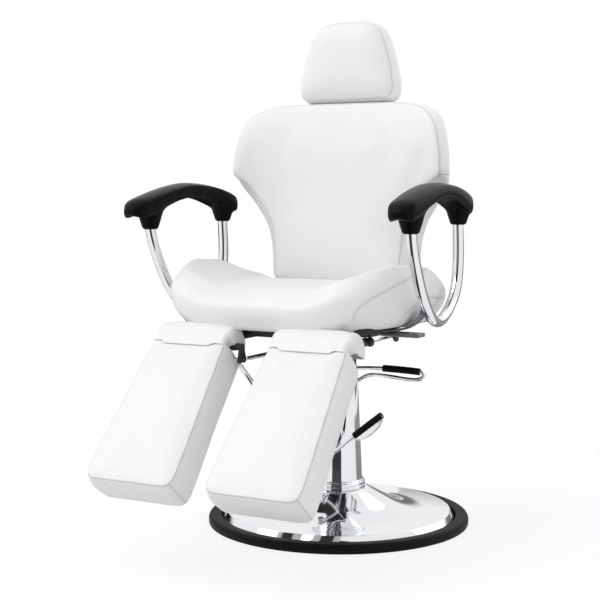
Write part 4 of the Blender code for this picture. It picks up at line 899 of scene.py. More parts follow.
def inflate(piece, held, cap):
    """Let air pressure fill the cover between its held seams, up to a cap."""
    before = [vertex.co.copy() for vertex in piece.data.vertices]
    pinned = piece.vertex_groups.new(name="held")
    pinned.add(held, 1.0, "REPLACE")
    cloth = piece.modifiers.new("filling", "CLOTH")
    for name, value in CLOTH_SETTINGS.items():
        setattr(cloth.settings, name, value)
    cloth.settings.effector_weights.gravity = 0.0
    cloth.settings.vertex_group_mass = pinned.name
    cloth.collision_settings.use_collision = False
    cloth.point_cache.frame_start = 1
    cloth.point_cache.frame_end = CLOTH_FRAMES
    for number in range(1, CLOTH_FRAMES + 1):
        bpy.context.scene.frame_set(number)
    pick(piece)
    bpy.ops.object.modifier_apply(modifier=cloth.name)
    bpy.context.scene.frame_set(1)
    piece.vertex_groups.clear()
    for vertex, start in zip(piece.data.vertices, before):
        move = vertex.co - start
        if move.length > cap:
            vertex.co = start + move * (cap / move.length)
    piece.data.update()


def at(value, target):
    return abs(value - target) < SAME_PLACE


class Boxed:
    """Shape of a boxed cushion: a sewn front panel, bulging boxing and a rear panel."""

    def __init__(self, outline, corners, centre, front, rear, roll, crown, peak, tuck):
        self.line = even_path([Vector(point) for point in outline], OUTLINE_STEP)
        marks = [self.mark(outline[corner]) for corner in corners]
        self.marks = (0, *marks, len(self.line) - 1)
        self.centre = Vector((0.0, centre))
        self.front, self.rear = front, rear
        self.roll_width, self.roll_height = roll
        self.crown = crown
        self.peak = peak
        self.tuck = tuck
        self.near = KDTree(2 * len(self.line))
        for index, point in enumerate(self.line):
            self.near.insert((point[0], point[1], 0.0), 2 * index)
            self.near.insert((-point[0], point[1], 0.0), 2 * index + 1)
        self.near.balance()

    def mark(self, target):
        """Number of the point of the fine line that is nearest to a point of the outline."""
        away = [(point - Vector(target)).length for point in self.line]
        return away.index(min(away))

    def border(self, across, up):
        """Front seam and widest line at a place on the rim of the unit square."""
        edge = abs(across)
        if at(up, -1.0):
            part, share = 0, edge
        elif at(up, 1.0):
            part, share = 2, 1 - edge
        else:
            part, share = 1, (up + 1) / 2
        start, end = self.marks[part], self.marks[part + 1]
        spot = start + (end - start) * share
        index = min(int(spot), len(self.line) - 2)
        point = self.line[index].lerp(self.line[index + 1], spot - index)
        return self.halves(point, math.copysign(1.0, across))

    def halves(self, point, side):
        """Front seam and widest line at a point of the outline, on this side."""
        return Vector((side * point[0], point[1])), Vector((side * point[2], point[3]))

    def rim(self, wide):
        """Edge of the rear panel, drawn in from the widest line."""
        inward = self.centre - wide
        return wide + inward.normalized() * self.tuck

    def edge(self, seam, wide, share):
        """A point of the boxing between the front seam (0) and the rear panel (1)."""
        if share < self.peak:
            spot = seam.lerp(wide, math.sin(share / self.peak * math.pi / 2))
        else:
            bend = (share - self.peak) / (1 - self.peak)
            spot = wide.lerp(self.rim(wide), 1 - math.cos(bend * math.pi / 2))
        front, rear = self.front(seam.x), self.rear(self.rim(wide).x)
        return Vector((spot.x, front + (rear - front) * share, spot.y))

    def panel(self, spot, reach):
        """Depth of the front panel, which rolls up from its seam to a crown."""
        away = min(self.near.find((spot.x, spot.y, 0.0))[2] / self.roll_width, 1.0)
        puff = self.roll_height * math.sqrt(1 - (1 - away) ** 2)
        return self.front(spot.x) - puff - self.crown * (1 - reach ** CROWN_POWER)

    def rule(self, across, behind, up):
        """Place of a point of the cage on the cushion."""
        reach = max(abs(across), abs(up), 1e-6)
        seam, wide = self.border(across / reach, up / reach)
        if at(behind, -1.0):
            spot = self.centre.lerp(seam, reach)
            return Vector((spot.x, self.panel(spot, reach), spot.y))
        if at(behind, 1.0):
            spot = self.centre.lerp(self.rim(wide), reach)
            return Vector((spot.x, self.rear(spot.x), spot.y))
        return self.edge(seam, wide, (behind + 1) / 2)

    def loop(self, share):
        """The line right round the boxing at this share of its depth."""
        sides = [(point, 1.0) for point in self.line[:-1]]
        sides += [(point, -1.0) for point in reversed(self.line[1:])]
        return [self.edge(*self.halves(point, side), share) for point, side in sides]

    def rib(self, mark, side):
        """A line straight back across the boxing."""
        seam, wide = self.halves(self.line[mark], side)
        return [self.edge(seam, wide, step / RIB_STEPS) for step in range(RIB_STEPS + 1)]


def boxed_cushion(name, cells, shape, place, cap):
    """Model, fill and refine a boxed cushion."""
    piece = cage(name, *[spread(count, edge) for count, edge in zip(cells, EDGE_CELLS)])
    grid = [tuple(vertex.co) for vertex in piece.data.vertices]
    reshape(piece, shape.rule)
    piece.data.transform(place)
    held = [index for index, (x, y, z) in enumerate(grid)
            if at(y, 1.0) or (at(y, -1.0) and at(max(abs(x), abs(z)), 1.0))]
    inflate(piece, held, cap)
    apply(piece, "SUBSURF", levels=1, boundary_smooth="PRESERVE_CORNERS")
    return piece


def sew(piece, place, loops, ribs, rows):
    """Press seams into a cushion and lay a row of stitches on each side of some of them."""
    skin = surface(piece)

    def on_skin(path, closed):
        laid = [skin.find_nearest(place @ point)[0] for point in path]
        return even_path(laid, SEAM_STEP, closed), even_path(laid, STITCH_PITCH, closed)

    drawn = [on_skin(path, True) for path in loops] + [on_skin(path, False) for path in ribs]
    press_seams(piece, [fine for fine, coarse in drawn])
    smooth(piece)
    laid = []
    for number in rows:
        laid += [(drawn[number][1], STITCH_OFFSET), (drawn[number][1], -STITCH_OFFSET)]
    return stitches(piece.name + "_stitches", piece, laid)


def dress_cushion(piece, thread, body, node):
    """Give a padded cushion and its stitches their finishes and their body."""
    dress(piece, "leather_white", body, node)
    coat(thread, "thread")
    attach(thread, body)


def seat_cushion():
    """Dished seat with side bolsters, rolled sides and a rolled front."""
    low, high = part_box("seat_cushion")
    half_width = high[0] + SEAT_WIDER
    middle = (low[1] + high[1]) / 2
    half_length = (high[1] - low[1]) / 2
    floor = low[2]

    def rule(across, along, up):
        level = math.sin(up * math.pi / 2)
        fall = 1 - math.cos(up * math.pi / 2)
        edge = abs(across)
        half = half_width - (SEAT_TOP_ROLL if up > 0 else SEAT_LOW_ROLL) * fall
        half -= SEAT_FRONT_TAPER * ease(-along, *SEAT_TAPER_RANGE)
        length = half_length - (SEAT_NOSE_TOP_ROLL if up > 0 else SEAT_NOSE_LOW_ROLL) * fall
        half *= 1 - SEAT_CORNER * abs(along) ** SEAT_CORNER_POWER
        length *= 1 - SEAT_CORNER * edge ** SEAT_CORNER_POWER
        wing = ease(edge, *SEAT_WING_SIDE_RANGE) * ease(along, *SEAT_WING_REAR_RANGE)
        length += SEAT_REAR_WINGS * wing
        spot = along * length / half_length
        start = SEAT_BOLSTER_START + SEAT_BOLSTER_SPREAD * ease(spot, *SEAT_SPREAD_RANGE)
        rise = SEAT_BOLSTER_RISE - SEAT_BOLSTER_REAR_FALL * ease(spot, *SEAT_REAR_FALL_RANGE)
        rise -= SEAT_BOLSTER_FRONT_FALL * ease(-spot, *SEAT_FRONT_FALL_RANGE)
        top = SEAT_MIDDLE_HEIGHT + rise * ease(edge, start, 1.0)
        top -= (SEAT_NOSE_DROP * ease(-spot, *SEAT_NOSE_DROP_RANGE)
                + SEAT_REAR_DROP * ease(spot, *SEAT_REAR_DROP_RANGE))
        skirt = max(SEAT_SKIRT * ease(-along, *SEAT_SKIRT_RANGE),
                    SEAT_SIDE_SKIRT * ease(edge, *SEAT_SIDE_SKIRT_RANGE))
        skirt *= (1 - level) / 2
        reach = 1 - SEAT_WIDEST_SHARE if level > 0 else SEAT_WIDEST_SHARE
        return Vector((across * half, middle + along * length,
                       floor + top * (SEAT_WIDEST_SHARE + reach * level) - skirt))

    piece = cage("seat_cover", *[spread(count) for count in SEAT_CELLS])
    grid = [tuple(vertex.co) for vertex in piece.data.vertices]
    reshape(piece, rule)
    held = [index for index, (x, y, z) in enumerate(grid) if z < SEAT_HELD_BELOW]
    inflate(piece, held, SEAT_SWELL)
    apply(piece, "SUBSURF", levels=1)
    ribs = [[Vector((side * x, y, z)) for x, y, z in even_path(line, SEAT_SEAM_STEP)]
            for line in (SEAT_MAIN_SEAM, SEAT_LOWER_SEAM) for side in (1.0, -1.0)]
    thread = sew(piece, Matrix.Identity(4), [], ribs, range(len(ribs)))
    dress_cushion(piece, thread, "seat", "seat_cushion")


def back_cushion():
    """Winged back whose boxing swells out below the wings."""
    rear_face = node_box("back_board", BACK_PLACE)[0].y - BOARD_GAP

    def sweep(x):
        return (max(abs(x) - BACK_FLAT_HALF, 0.0) / BACK_SWEEP_SPAN) ** 2

    def front(x):
        return rear_face - BACK_SEAM_DEPTH - BACK_WING_FORWARD * sweep(x)

    def rear(x):
        return rear_face - (BACK_WING_FORWARD + BACK_WING_THINNING) * sweep(x)

    shape = Boxed(BACK_OUTLINE, BACK_CORNERS, BACK_CENTRE, front, rear, BACK_ROLL, BACK_CROWN,
                  BACK_PEAK, BACK_TUCK)
    piece = boxed_cushion("back_cover", BACK_CELLS, shape, BACK_PLACE, BACK_SWELL)
    wing_tip = shape.mark(BACK_OUTLINE[BACK_RIB_POINT])
    ribs = [shape.rib(wing_tip, side) for side in (1.0, -1.0)]
    thread = sew(piece, BACK_PLACE, [shape.loop(0.0), shape.loop(1.0)], ribs, (0,))
    dress_cushion(piece, thread, "back", "back_cushion")


def headrest_cushion():
    """Headrest that narrows towards its top."""
    rear_face = node_box("headrest_board", BACK_PLACE)[0].y - BOARD_GAP

    def front(x):
        return rear_face - HEAD_SEAM_DEPTH

    def rear(x):
        return rear_face

    shape = Boxed(HEAD_OUTLINE, HEAD_CORNERS, HEAD_CENTRE, front, rear, HEAD_ROLL, HEAD_CROWN,
                  HEAD_PEAK, HEAD_TUCK)
    piece = boxed_cushion("headrest_cover", HEAD_CELLS, shape, BACK_PLACE, HEAD_SWELL)
    thread = sew(piece, BACK_PLACE, [shape.loop(0.0), shape.loop(1.0)], [], (0,))
    dress_cushion(piece, thread, "headrest", "headrest_cushion")


def leg_cushions():
    """Boxed pad of each leg rest."""
    low, high = node_box("left_leg_cushion", LEG_PLACE)
    rear_face = high.y
    place = LEG_PLACE @ Matrix.Translation(((low.x + high.x) / 2, 0.0, 0.0))

    def front(x):
        return rear_face - LEG_SEAM_DEPTH

    def rear(x):
        return rear_face

    shape = Boxed(LEG_OUTLINE, LEG_CORNERS, LEG_CENTRE, front, rear, LEG_ROLL, LEG_CROWN, LEG_PEAK,
                  LEG_TUCK)
    piece = boxed_cushion("left_leg_cover", LEG_CELLS, shape, place, LEG_SWELL)
    corner = shape.mark(LEG_OUTLINE[LEG_RIB_POINT])
    ribs = [shape.rib(corner, side) for side in (1.0, -1.0)]
    thread = sew(piece, place, [shape.loop(0.0), shape.loop(1.0)], ribs, (0,))
    twin = mirrored(piece, "right_leg_cover")
    twin_thread = mirrored(thread, "right_leg_cover_stitches")
    dress_cushion(piece, thread, "left_leg", "left_leg_cushion")
    dress_cushion(twin, twin_thread, "right_leg", "right_leg_cushion")


def leg_flaps():
    """Leather flap over the hinge, closed by a rounded cheek at both ends."""
    low, high = node_box("left_leg_cushion", LEG_PLACE)
    centre = (low.x + high.x) / 2
    front = -high.z + FLAP_DROP
    pick()
    bpy.ops.mesh.primitive_grid_add(x_subdivisions=FLAP_CELLS[0], y_subdivisions=FLAP_CELLS[1],
                                    size=2.0)
    piece = named("left_flap")

    def rule(across, along, up):
        share = (along + 1) / 2
        side = math.copysign(1.0, across)
        edge = min(abs(across) / FLAP_CHEEK_SHARE, 1.0)
        cheek = max((abs(across) - FLAP_CHEEK_SHARE) / (1 - FLAP_CHEEK_SHARE), 0.0)
        tab = 1 - ease(edge, FLAP_TAB_SHARE, FLAP_WAVE_SHARE)
        drop = front + FLAP_TAB * tab
        travel = share * (drop + FLAP_RADIUS * FLAP_WRAP) - drop
        raised = FLAP_TAB_RISE * (1 - ease(edge, FLAP_TAB_SHARE, FLAP_TAB_RISE_SHARE))
        raised *= 1 - ease(travel, *FLAP_TAB_RISE_FADE)
        turn = min(cheek / FLAP_CHEEK_TURN, 1.0) * math.pi / 2
        reach = edge * (FLAP_HALF - FLAP_END_ROUND) + FLAP_END_ROUND * math.sin(turn)
        inset = FLAP_END_ROUND * (1 - math.cos(turn))
        inset += (max(cheek - FLAP_CHEEK_TURN, 0.0) / (1 - FLAP_CHEEK_TURN)
                  * (FLAP_RADIUS - FLAP_END_ROUND - FLAP_CHEEK_OPENING))
        closed = ease(travel, *FLAP_CHEEK_CLOSING)
        reach -= FLAP_CHEEK_PULL * cheek * (1 - closed)
        radius = FLAP_RADIUS + raised - inset
        if travel < 0:
            return Vector((centre + side * reach, -radius, travel))
        angle = travel / FLAP_RADIUS
        return Vector((centre + side * reach, -radius * math.cos(angle), radius * math.sin(angle)))

    slots = []
    for face in piece.data.polygons:
        spot = rule(*face.center)
        angle = math.atan2(spot.z, -spot.y)
        inside = any(abs(spot.x - ear) < FLAP_SLOT_WIDTH for ear in LEG_EARS)
        if inside and angle > FLAP_SLOT_START and abs(face.center.x) < FLAP_CHEEK_SHARE:
            slots.append(face.index)
    open_edit(piece)
    bpy.ops.mesh.select_mode(type="FACE")
    bpy.ops.mesh.select_all(action="DESELECT")
    close_edit()
    for index in slots:
        piece.data.polygons[index].select = True
    bpy.ops.object.mode_set(mode="EDIT")
    bpy.ops.mesh.delete(type="FACE")
    close_edit()
    reshape(piece, rule)
    apply(piece, "SOLIDIFY", thickness=FLAP_SKIN, offset=1.0)
    piece.data.transform(LEG_PLACE)
    tidy_normals(piece)
    smooth(piece, FLAP_CREASE)
    dress_pair(piece, "leather_white", "leg", "leg_flap")


# Bent tubes and turned metal

def tube(name, points, radius, closed=False):
    """A round tube along a line of points."""
    pick()
    bpy.ops.curve.primitive_nurbs_path_add()
    piece = named(name)
    piece.data.splines.clear()
    line = piece.data.splines.new("POLY")
    line.points.add(len(points) - 1)
    for spot, point in zip(line.points, points):
        spot.co = (*point, 1.0)
    line.use_cyclic_u = closed
    piece.data.bevel_depth = radius
    piece.data.bevel_resolution = TUBE_BEVEL_STEPS
    piece.data.use_fill_caps = True
    pick(piece)
    bpy.ops.object.convert(target="MESH")
    piece = named(name)
    tidy_normals(piece)
    smooth(piece, TUBE_CREASE)
    return piece


def turned(name, outline, steps=TURNED_STEPS, centre=(0.0, 0.0)):
    """A closed outline of (radius, height) turned about an upright axis."""
    pick()
    bpy.ops.mesh.primitive_circle_add(vertices=len(outline))
    piece = named(name)
    for vertex, (radius, height) in zip(piece.data.vertices, outline):
        vertex.co = (radius, 0.0, height)
    open_edit(piece)
    bpy.ops.mesh.spin(steps=steps, angle=2 * math.pi, center=(0, 0, 0), axis=(0, 0, 1))
    close_edit()
    tidy_normals(piece)
    piece.data.transform(Matrix.Translation((*centre, 0.0)))
    smooth(piece, TURNED_CREASE)
    return piece


def softened(corners, steps=CORNER_STEPS):
    """A closed outline whose corners (radius, height, round) are rounded off."""
    outline = []
    count = len(corners)
    for index, (radius, height, round_off) in enumerate(corners):
        spot = Vector((radius, height))
        if not round_off:
            outline.append(tuple(spot))
            continue
        back = (Vector(corners[index - 1][:2]) - spot).normalized() * round_off
        ahead = (Vector(corners[(index + 1) % count][:2]) - spot).normalized() * round_off
        for step in range(steps + 1):
            t = step / steps
            outline.append(tuple((spot + back) * (1 - t) ** 2 + spot * 2 * t * (1 - t)
                                 + (spot + ahead) * t * t))
    return outline


def foot():
    """Rubber ring and spun dish, whose throat flares up to the column."""
    ring_radius, _, ring_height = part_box("base_ring")[1]
    ring = turned("foot_ring", softened([(ring_radius - inset, ring_height * share, round_off)
                                         for inset, share, round_off in RING_CORNERS]))
    dress(ring, "rubber_black", "base", "base_ring")
    dish_low, dish_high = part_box("base_dish")
    rim, rim_height = dish_high[0], dish_low[2]
    throat_top = dish_high[2]
    crest = rim - DISH_CREST_INSET
    upper = softened([(DISH_THROAT, throat_top, 0.0), (DISH_LIP, throat_top, DISH_LIP_ROUND),
                      (DISH_BELL_FOOT, DISH_CREST_HEIGHT + DISH_STEP, DISH_BELL_ROUND),
                      (crest, DISH_CREST_HEIGHT, 0.0)], BELL_STEPS)
    lower = [(radius, height - DISH_WALL) for radius, height in reversed(upper)]
    edge = softened([(crest, DISH_CREST_HEIGHT, DISH_CREST_ROUND),
                     (rim, rim_height + DISH_STEP, DISH_RIM_ROUND),
                     (rim - DISH_WALL, rim_height, 0.0),
                     (crest - DISH_WALL, DISH_CREST_HEIGHT - DISH_WALL, 0.0)])
    dish = turned("foot_dish", upper[:-1] + edge + lower[1:])
    dress(dish, "chrome", "base", "base_dish")


def column():
    """Conical cover of the pump and the stepped collar at its foot."""
    cover_low, cover_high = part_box("column_cover")
    foot_radius, foot_z, top_z = cover_high[0], cover_low[2], cover_high[2]
    cover = turned("column_tube", softened([
        (foot_radius, foot_z, 0.0), (COLUMN_TOP_RADIUS, top_z, COLUMN_TOP_ROUND),
        (COLUMN_TOP_RADIUS - COLUMN_WALL, top_z, 0.0), (foot_radius - COLUMN_WALL, foot_z, 0.0)]))
    dress(cover, "chrome", "base", "column_cover")
    low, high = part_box("column_collar")
    outer, base, top = high[0], low[2], high[2]
    corners = [(outer - inset, base + up, round_off) for inset, up, round_off in COLLAR_FOOT]
    corners += [(outer - inset, top - down, round_off) for inset, down, round_off in COLLAR_TOP]
    collar = turned("foot_collar", softened(corners))
    dress(collar, "chrome", "base", "column_collar")


def shaft(name, start, end, radius, soften):
    """A round bar between two points with softened ends."""
    start, end = Vector(start), Vector(end)
    length = (end - start).length
    bar = turned(name, softened([(0.0, 0.0, 0.0), (radius, 0.0, soften), (radius, length, soften),
                                 (0.0, length, 0.0)]), BAR_STEPS)
    turn = Vector((0.0, 0.0, 1.0)).rotation_difference(end - start).to_matrix().to_4x4()
    bar.data.transform(Matrix.Translation(start) @ turn)
    return bar


def eye(name, centre, axis, radius, bore, length):
    """A short ring for a pin."""
    half = length / 2
    ring = turned(name, softened([(bore, -half, 0.0), (radius, -half, EYE_ROUND),
                                  (radius, half, EYE_ROUND), (bore, half, 0.0)]), EYE_STEPS)
    turn = Vector((0.0, 0.0, 1.0)).rotation_difference(Vector(axis)).to_matrix().to_4x4()
    ring.data.transform(Matrix.Translation(centre) @ turn)
    return ring


def relaxed(path, turns, held):
    """A line smoothed between its held ends."""
    for _ in range(turns):
        inner = [(before + after) / 2 for before, after in zip(path[held - 1:], path[held + 1:])]
        path = path[:held] + inner[:len(path) - 2 * held] + path[len(path) - held:]
    return path


def splay(x, along):
    """Place across of an arm that stands a little wider at its front."""
    return x + ARM_SHIFT + ARM_TOE * (ARM_MIDDLE_Y - along)


def arm_loops():
    """Chromed loop of round tube under each arm pad."""
    low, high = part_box("left_arm_loop")
    x = (low[0] + high[0]) / 2
    bottom, top = low[2] + ARM_TUBE_RADIUS, high[2]
    height = top - bottom
    levels = {"top": top, "neck": top - ARM_NECK_DEPTH, "bend": top - ARM_BEND_DEPTH,
              "shoulder": bottom + ARM_SHOULDER_SHARE * height,
              "low": bottom + ARM_LOW_SHARE * height, "bottom": bottom}
    points = [(splay(x, along), along, levels[level]) for along, level in ARM_LINE]
    route = relaxed(even_path(points, TUBE_STEP), ARM_RELAX_TURNS, ARM_HELD_POINTS)
    loop = tube("left_loop", route, ARM_TUBE_RADIUS)
    dress_pair(loop, "chrome", "arm", "arm_loop")


def quarter(a, b):
    """Round the corner of a unit square: a and b from 0 to 1 towards the corner."""
    return a * math.sqrt(1 - b * b / 2), b * math.sqrt(1 - a * a / 2)


def rounded(x, y, half, end, radius):
    """Move a point of a strip so that the strip's corners at this end are round."""
    side = math.copysign(1.0, end)
    a = (abs(x) - (half - radius)) / radius
    b = 1 - (abs(end) - side * y) / radius
    if a <= 0 or b <= 0:
        return x, y
    a, b = quarter(min(a, 1.0), min(b, 1.0))
    return math.copysign(half - radius + a * radius, x), side * (abs(end) - radius * (1 - b))


def arm_pads():
    """Moulded pads: an arched bar with flared necks that take the tube's ends."""
    low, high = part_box("left_arm_pad")
    tube_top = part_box("left_arm_loop")[1][2]
    x = (low[0] + high[0]) / 2
    middle, half_length = (low[1] + high[1]) / 2, (high[1] - low[1]) / 2

    def rule(across, along, up):
        end = abs(along)
        swelling = (PAD_END_THICKNESS - PAD_THICKNESS) * ease(end, *PAD_THICKENING)
        thick = PAD_THICKNESS + swelling
        nose_share = max((end - PAD_NOSE_START) / PAD_NOSE_SPAN, 0.0)
        nose = math.sqrt(1 - PAD_NOSE_DEPTH * nose_share ** 2)
        half = PAD_HALF_WIDTH * (1 - PAD_END_NARROWING * end ** 3)
        x_place, y_place = across * half, along * half_length
        for tip in (half_length, -half_length):
            x_place, y_place = rounded(x_place, y_place, half, tip, PAD_END_CORNER)
        if along < 0:
            drop = PAD_FRONT_DROP * end ** PAD_FRONT_BOW
        else:
            drop = PAD_REAR_DROP * end ** PAD_REAR_BOW
        level = PAD_TOP - drop - PAD_CROWN * across * across - thick * (1 - nose) / 2
        thick *= nose
        inset = 1 - PAD_UNDERSIDE_INSET * max(-up, 0.0) ** 2
        y_place += middle
        return Vector((splay(x, y_place) + x_place * inset, y_place, level - thick * (1 - up) / 2))

    bar = cage("left_pad", *[spread(count) for count in PAD_CELLS])
    reshape(bar, rule)
    necks = []
    for along, neck_foot in ((ARM_FRONT_Y, NECK_FRONT_Z), (ARM_REAR_Y, NECK_REAR_Z)):
        outline = [(radius, neck_foot + up, round_off) for radius, up, round_off in NECK_FLARE]
        neck = turned("neck", softened(outline), NECK_STEPS)
        inward = math.copysign(NECK_SWEEP, middle - along)
        for vertex in neck.data.vertices:
            vertex.co.x = min(max(vertex.co.x, -NECK_HALF_WIDTH), NECK_HALF_WIDTH)
            vertex.co.y += inward * max(vertex.co.z - neck_foot - NECK_SWEEP_START, 0.0) ** 2
        neck.data.transform(Matrix.Translation((splay(x, along), along, 0.0)))
        necks.append(neck)
    pad = joined(bar, *necks)
    apply(pad, "REMESH", mode="VOXEL", voxel_size=PAD_REMESH)
    apply(pad, "SMOOTH", factor=0.5, iterations=PAD_SMOOTHING)
    for along in (ARM_FRONT_Y, ARM_REAR_Y):
        pick()
        bpy.ops.mesh.primitive_cylinder_add(
            vertices=NECK_STEPS, radius=ARM_TUBE_RADIUS + BORE_PLAY, depth=BORE_LENGTH,
            location=(splay(x, along), along, tube_top - BORE_DEPTH))
        cut_out(pad, named("bore"))
    smooth(pad, TUBE_CREASE)
    for piece in dress_pair(pad, "pu_black", "arm", "arm_pad"):
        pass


def flat(points):
    """Points across and up, as points of the chair's upright plane."""
    return [(across, 0.0, up) for across, up in points]


def block(name, centre, size):
    """A plain block of this size about a centre."""
    pick()
    bpy.ops.mesh.primitive_cube_add(size=1.0)
    piece = named(name)
    piece.data.transform(Matrix.Translation(centre) @ Matrix.Diagonal((*size, 1.0)))
    return piece


def cut_out(piece, cutter):
    """Cut one piece's shape out of another and throw the cutter away."""
    apply(piece, "BOOLEAN", object=cutter, operation="DIFFERENCE")
    bpy.data.objects.remove(cutter)


def arm_straps():
    """Flat bar that bends up from under the seat to the arm's tube, on a grey bracket."""
    knob = joints["left_knob_turn"]["pos_m"]
    line = even_path(flat(STRAP_LINE), TUBE_STEP)
    strap = cage("left_strap", spread(len(line) - 1), [], [])

    def rule(across, along, up):
        index = round((across + 1) / 2 * (len(line) - 1))
        ahead = line[min(index + 1, len(line) - 1)] - line[max(index - 1, 0)]
        normal = Vector((-ahead.z, 0.0, ahead.x)).normalized()
        return (line[index] + normal * up * STRAP_THICKNESS / 2
                + Vector((0.0, knob[1] + along * STRAP_WIDTH / 2, 0.0)))

    reshape(strap, rule)
    slot_start, slot_end = STRAP_SLOT
    cut_out(strap, block("slot", ((slot_start + slot_end) / 2, knob[1], STRAP_LINE[0][1]),
                         (slot_end - slot_start, STRAP_SLOT_WIDTH, STRAP_SLOT_CUT)))
    (inner, low), (outer, high) = BRACKET_LOW, BRACKET_HIGH
    bracket = block("bracket", ((inner + outer) / 2, knob[1], (low + high) / 2),
                    (outer - inner, STRAP_WIDTH, high - low))
    strap = joined(strap, bracket)
    apply(strap, "BEVEL", width=STRAP_BEVEL, segments=STRAP_BEVEL_STEPS, limit_method="ANGLE")
    tidy_normals(strap)
    smooth(strap, STRAP_CREASE)
    ball = turned("left_ball_knob", softened(KNOB_OUTLINE), KNOB_STEPS, (knob[0], knob[1]))
    dress_pair(strap, "steel_grey", "arm", "arm_strap")
    dress_pair(ball, "plastic_black", "knob", "arm_knob")


def levers():
    """Brake loop and pump pedal on the column, with their rubber sleeves."""
    def frame_of(joint, rise):
        return Matrix.Translation(joints[joint]["pos_m"]) @ Matrix.Rotation(-rise, 4, "Y")

    def with_eye(rod, name):
        return joined(rod, eye(name, (0.0, 0.0, 0.0), (0.0, 1.0, 0.0), LEVER_EYE_RADIUS, LEVER_BORE,
                               LEVER_EYE_LENGTH))

    def ring(points):
        return even_path(flat(points), LEVER_STEP, closed=True)[:-1]

    brake_place = frame_of("swivel_brake", BRAKE_RISE)
    loop = with_eye(tube("brake_loop", ring(BRAKE_LOOP), LEVER_RADIUS, True), "brake_eye")
    sleeve = tube("brake_sleeve", even_path(flat(BRAKE_SLEEVE), LEVER_STEP), SLEEVE_RADIUS)
    pedal_place = frame_of("pedal_stroke", PEDAL_RISE)
    rod = tube("pedal_rod", even_path(flat(PEDAL_ROD), LEVER_STEP), LEVER_RADIUS)
    pedal = with_eye(rod, "pedal_eye")
    outline = ring(PEDAL_PADDLE)
    rim = tube("pedal_rim", outline, PADDLE_RIM_RADIUS, True)
    pick()
    bpy.ops.mesh.primitive_circle_add(vertices=len(outline), fill_type="NGON")
    paddle = named("paddle")
    for vertex, point in zip(paddle.data.vertices, outline):
        vertex.co = point
    apply(paddle, "SOLIDIFY", thickness=PADDLE_THICKNESS, offset=0.0)
    tidy_normals(paddle)
    pedal = joined(pedal, rim, paddle)
    grip = tube("pedal_sleeve", even_path(flat(PEDAL_SLEEVE), LEVER_STEP), SLEEVE_RADIUS)
    for piece, place, slot, body, node in (
            (loop, brake_place, "chrome", "brake", "brake_lever"),
            (sleeve, brake_place, "rubber_black", "brake", "brake_grip"),
            (pedal, pedal_place, "chrome", "pedal", "pump_pedal"),
            (grip, pedal_place, "rubber_black", "pedal", "pedal_grip")):
        if slot == "rubber_black":
            apply(piece, "BEVEL", width=SLEEVE_BEVEL, segments=SLEEVE_BEVEL_STEPS,
                  limit_method="ANGLE")
        piece.data.transform(place)
        smooth(piece, TUBE_CREASE)
        dress(piece, slot, body, node)


def leg_holders():
    """Holding bar and release lever of each leg rest."""
    low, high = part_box("left_ratchet_bar")
    level = (low[2] + high[2]) / 2
    bar = shaft("left_bar", (BAR_X, low[1], level), (BAR_X, high[1], level), BAR_RADIUS, BAR_ROUND)
    pin_y = low[1] + BAR_NOSE
    bar = joined(bar, shaft("bar_pin", (BAR_X, pin_y, level), (high[0], pin_y, level),
                            BAR_PIN_RADIUS, BAR_PIN_ROUND))
    pivot = Vector(RELEASE_PIVOT)
    aim = Vector((0.0, math.cos(RELEASE_DROP), -math.sin(RELEASE_DROP)))
    hand = shaft("left_release", pivot + aim * RELEASE_START, pivot + aim * RELEASE_LENGTH,
                 RELEASE_RADIUS, RELEASE_ROUND)
    hand = joined(hand, eye("release_eye", pivot, (1.0, 0.0, 0.0), RELEASE_EYE_RADIUS, RELEASE_BORE,
                            2 * RELEASE_RADIUS))
    dress_pair(bar, "chrome", "bar", "ratchet_bar")
    dress_pair(hand, "chrome", "release", "release_lever")


# Floor, flags, light and camera

def floor_paint():
    """Pale floor that melts into the white backdrop but keeps a soft shadow."""
    material = paint("floor", floor_look)
    graph = Graph(material.node_tree)
    lit = Value(graph, material.node_tree.nodes["Principled BSDF"].outputs[0])
    glow = graph.node("ShaderNodeEmission", {}, {"Color": GLOW_COLOUR, "Strength": 1.0})
    mixed = graph.node("ShaderNodeMixShader", {}, {0: seen(graph) * FLOOR_GLOW, 1: lit, 2: glow})
    graph.feed(material.node_tree.nodes["Material Output"].inputs["Surface"], mixed)
    return material


def turned_panel(turn, corners):
    """A flat panel with its corners across, away and up, turned to a bearing."""
    pick()
    bpy.ops.mesh.primitive_plane_add(size=1.0)
    panel = named("flag")
    for vertex, (across, away, up) in zip(panel.data.vertices, corners):
        vertex.co = (across, -away, up)
    panel.data.transform(Matrix.Rotation(math.radians(turn), 4, "Z"))
    return panel


def hide_flag(flag, look):
    """Give a panel its look and leave only reflections of it."""
    flag.data.materials.append(paint("flag", look))
    flag.visible_camera = False
    flag.visible_diffuse = False
    flag.visible_shadow = False


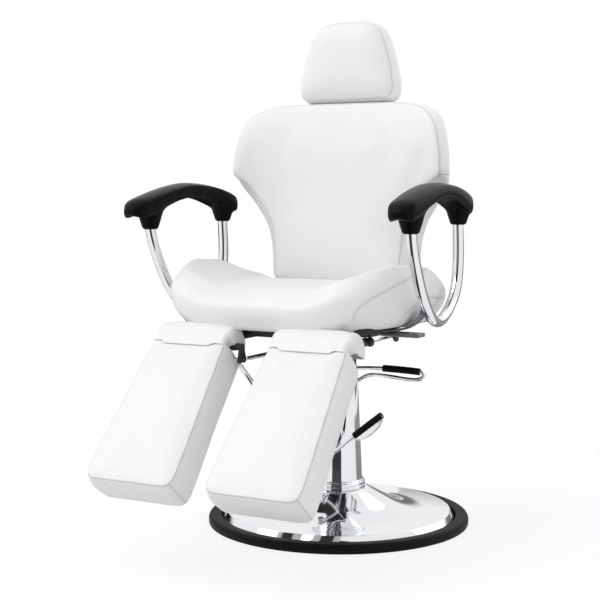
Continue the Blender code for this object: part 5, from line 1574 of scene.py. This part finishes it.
def stage():
    """Floor, and the panels that only reflections see."""
    pick()
    bpy.ops.mesh.primitive_plane_add(size=FLOOR_SIZE)
    floor = named("floor")
    floor.data.materials.append(floor_paint())
    for turn, away, width, low, top, tone, fade in FLAGS:
        flag = turned_panel(turn, [(side * width / 2, away, up) for up in (low, top)
                                   for side in (-1, 1)])
        hide_flag(flag, flag_look(tone, top, fade))
    for turn, half_angle, inner, outer, tone in FLOOR_FLAGS:
        lean = math.tan(math.radians(half_angle))
        flag = turned_panel(turn, [(side * away * lean, away, FLAG_LIFT) for away in (inner, outer)
                                   for side in (-1, 1)])
        hide_flag(flag, flag_look(tone, 0.0, 0.0))


def light():
    """White surroundings and two broad lamps."""
    world = bpy.data.worlds.new("studio")
    world.use_nodes = True
    bpy.context.scene.world = world
    graph = Graph(world.node_tree)
    sky = world.node_tree.nodes["Background"]
    sky.inputs["Color"].default_value = GLOW_COLOUR
    graph.feed(sky.inputs["Strength"], WORLD_FILL + seen(graph) * (1.0 - WORLD_FILL))
    for name, strength, tilt in (("key", KEY_STRENGTH, KEY_TILT), ("rim", RIM_STRENGTH, RIM_TILT)):
        pick()
        bpy.ops.object.light_add(type="SUN", rotation=tilt)
        lamp = named(name)
        lamp.data.energy = strength
        lamp.data.angle = LAMP_ANGLE


def camera():
    """Camera that stands where the photograph's did."""
    stand = Vector((CAMERA_DISTANCE * math.sin(CAMERA_TURN),
                    -CAMERA_DISTANCE * math.cos(CAMERA_TURN), CAMERA_HEIGHT))
    centre = PHOTO_PIXELS / 2
    pitch = math.atan((centre - HORIZON_PIXEL) / FOCAL_PIXELS)
    turn = CAMERA_TURN + math.atan((AXIS_PIXEL - centre) / FOCAL_PIXELS)
    pick()
    bpy.ops.object.camera_add(location=stand, rotation=(math.pi / 2 - pitch, 0.0, turn))
    shot = named("photo_camera")
    shot.data.sensor_width = SENSOR_WIDTH
    shot.data.lens = FOCAL_PIXELS / PHOTO_PIXELS * SENSOR_WIDTH
    bpy.context.scene.camera = shot
    bpy.context.scene.view_settings.view_transform = "Standard"


# The chair, then its studio

pick()
for subpart in frame["record"]["subparts"]:
    coat(frame["nodes"][subpart["node"]], subpart["material_slot"])
seat_cushion()
back_cushion()
headrest_cushion()
leg_cushions()
leg_flaps()
foot()
column()
arm_loops()
arm_pads()
arm_straps()
levers()
leg_holders()
stage()
light()
camera()
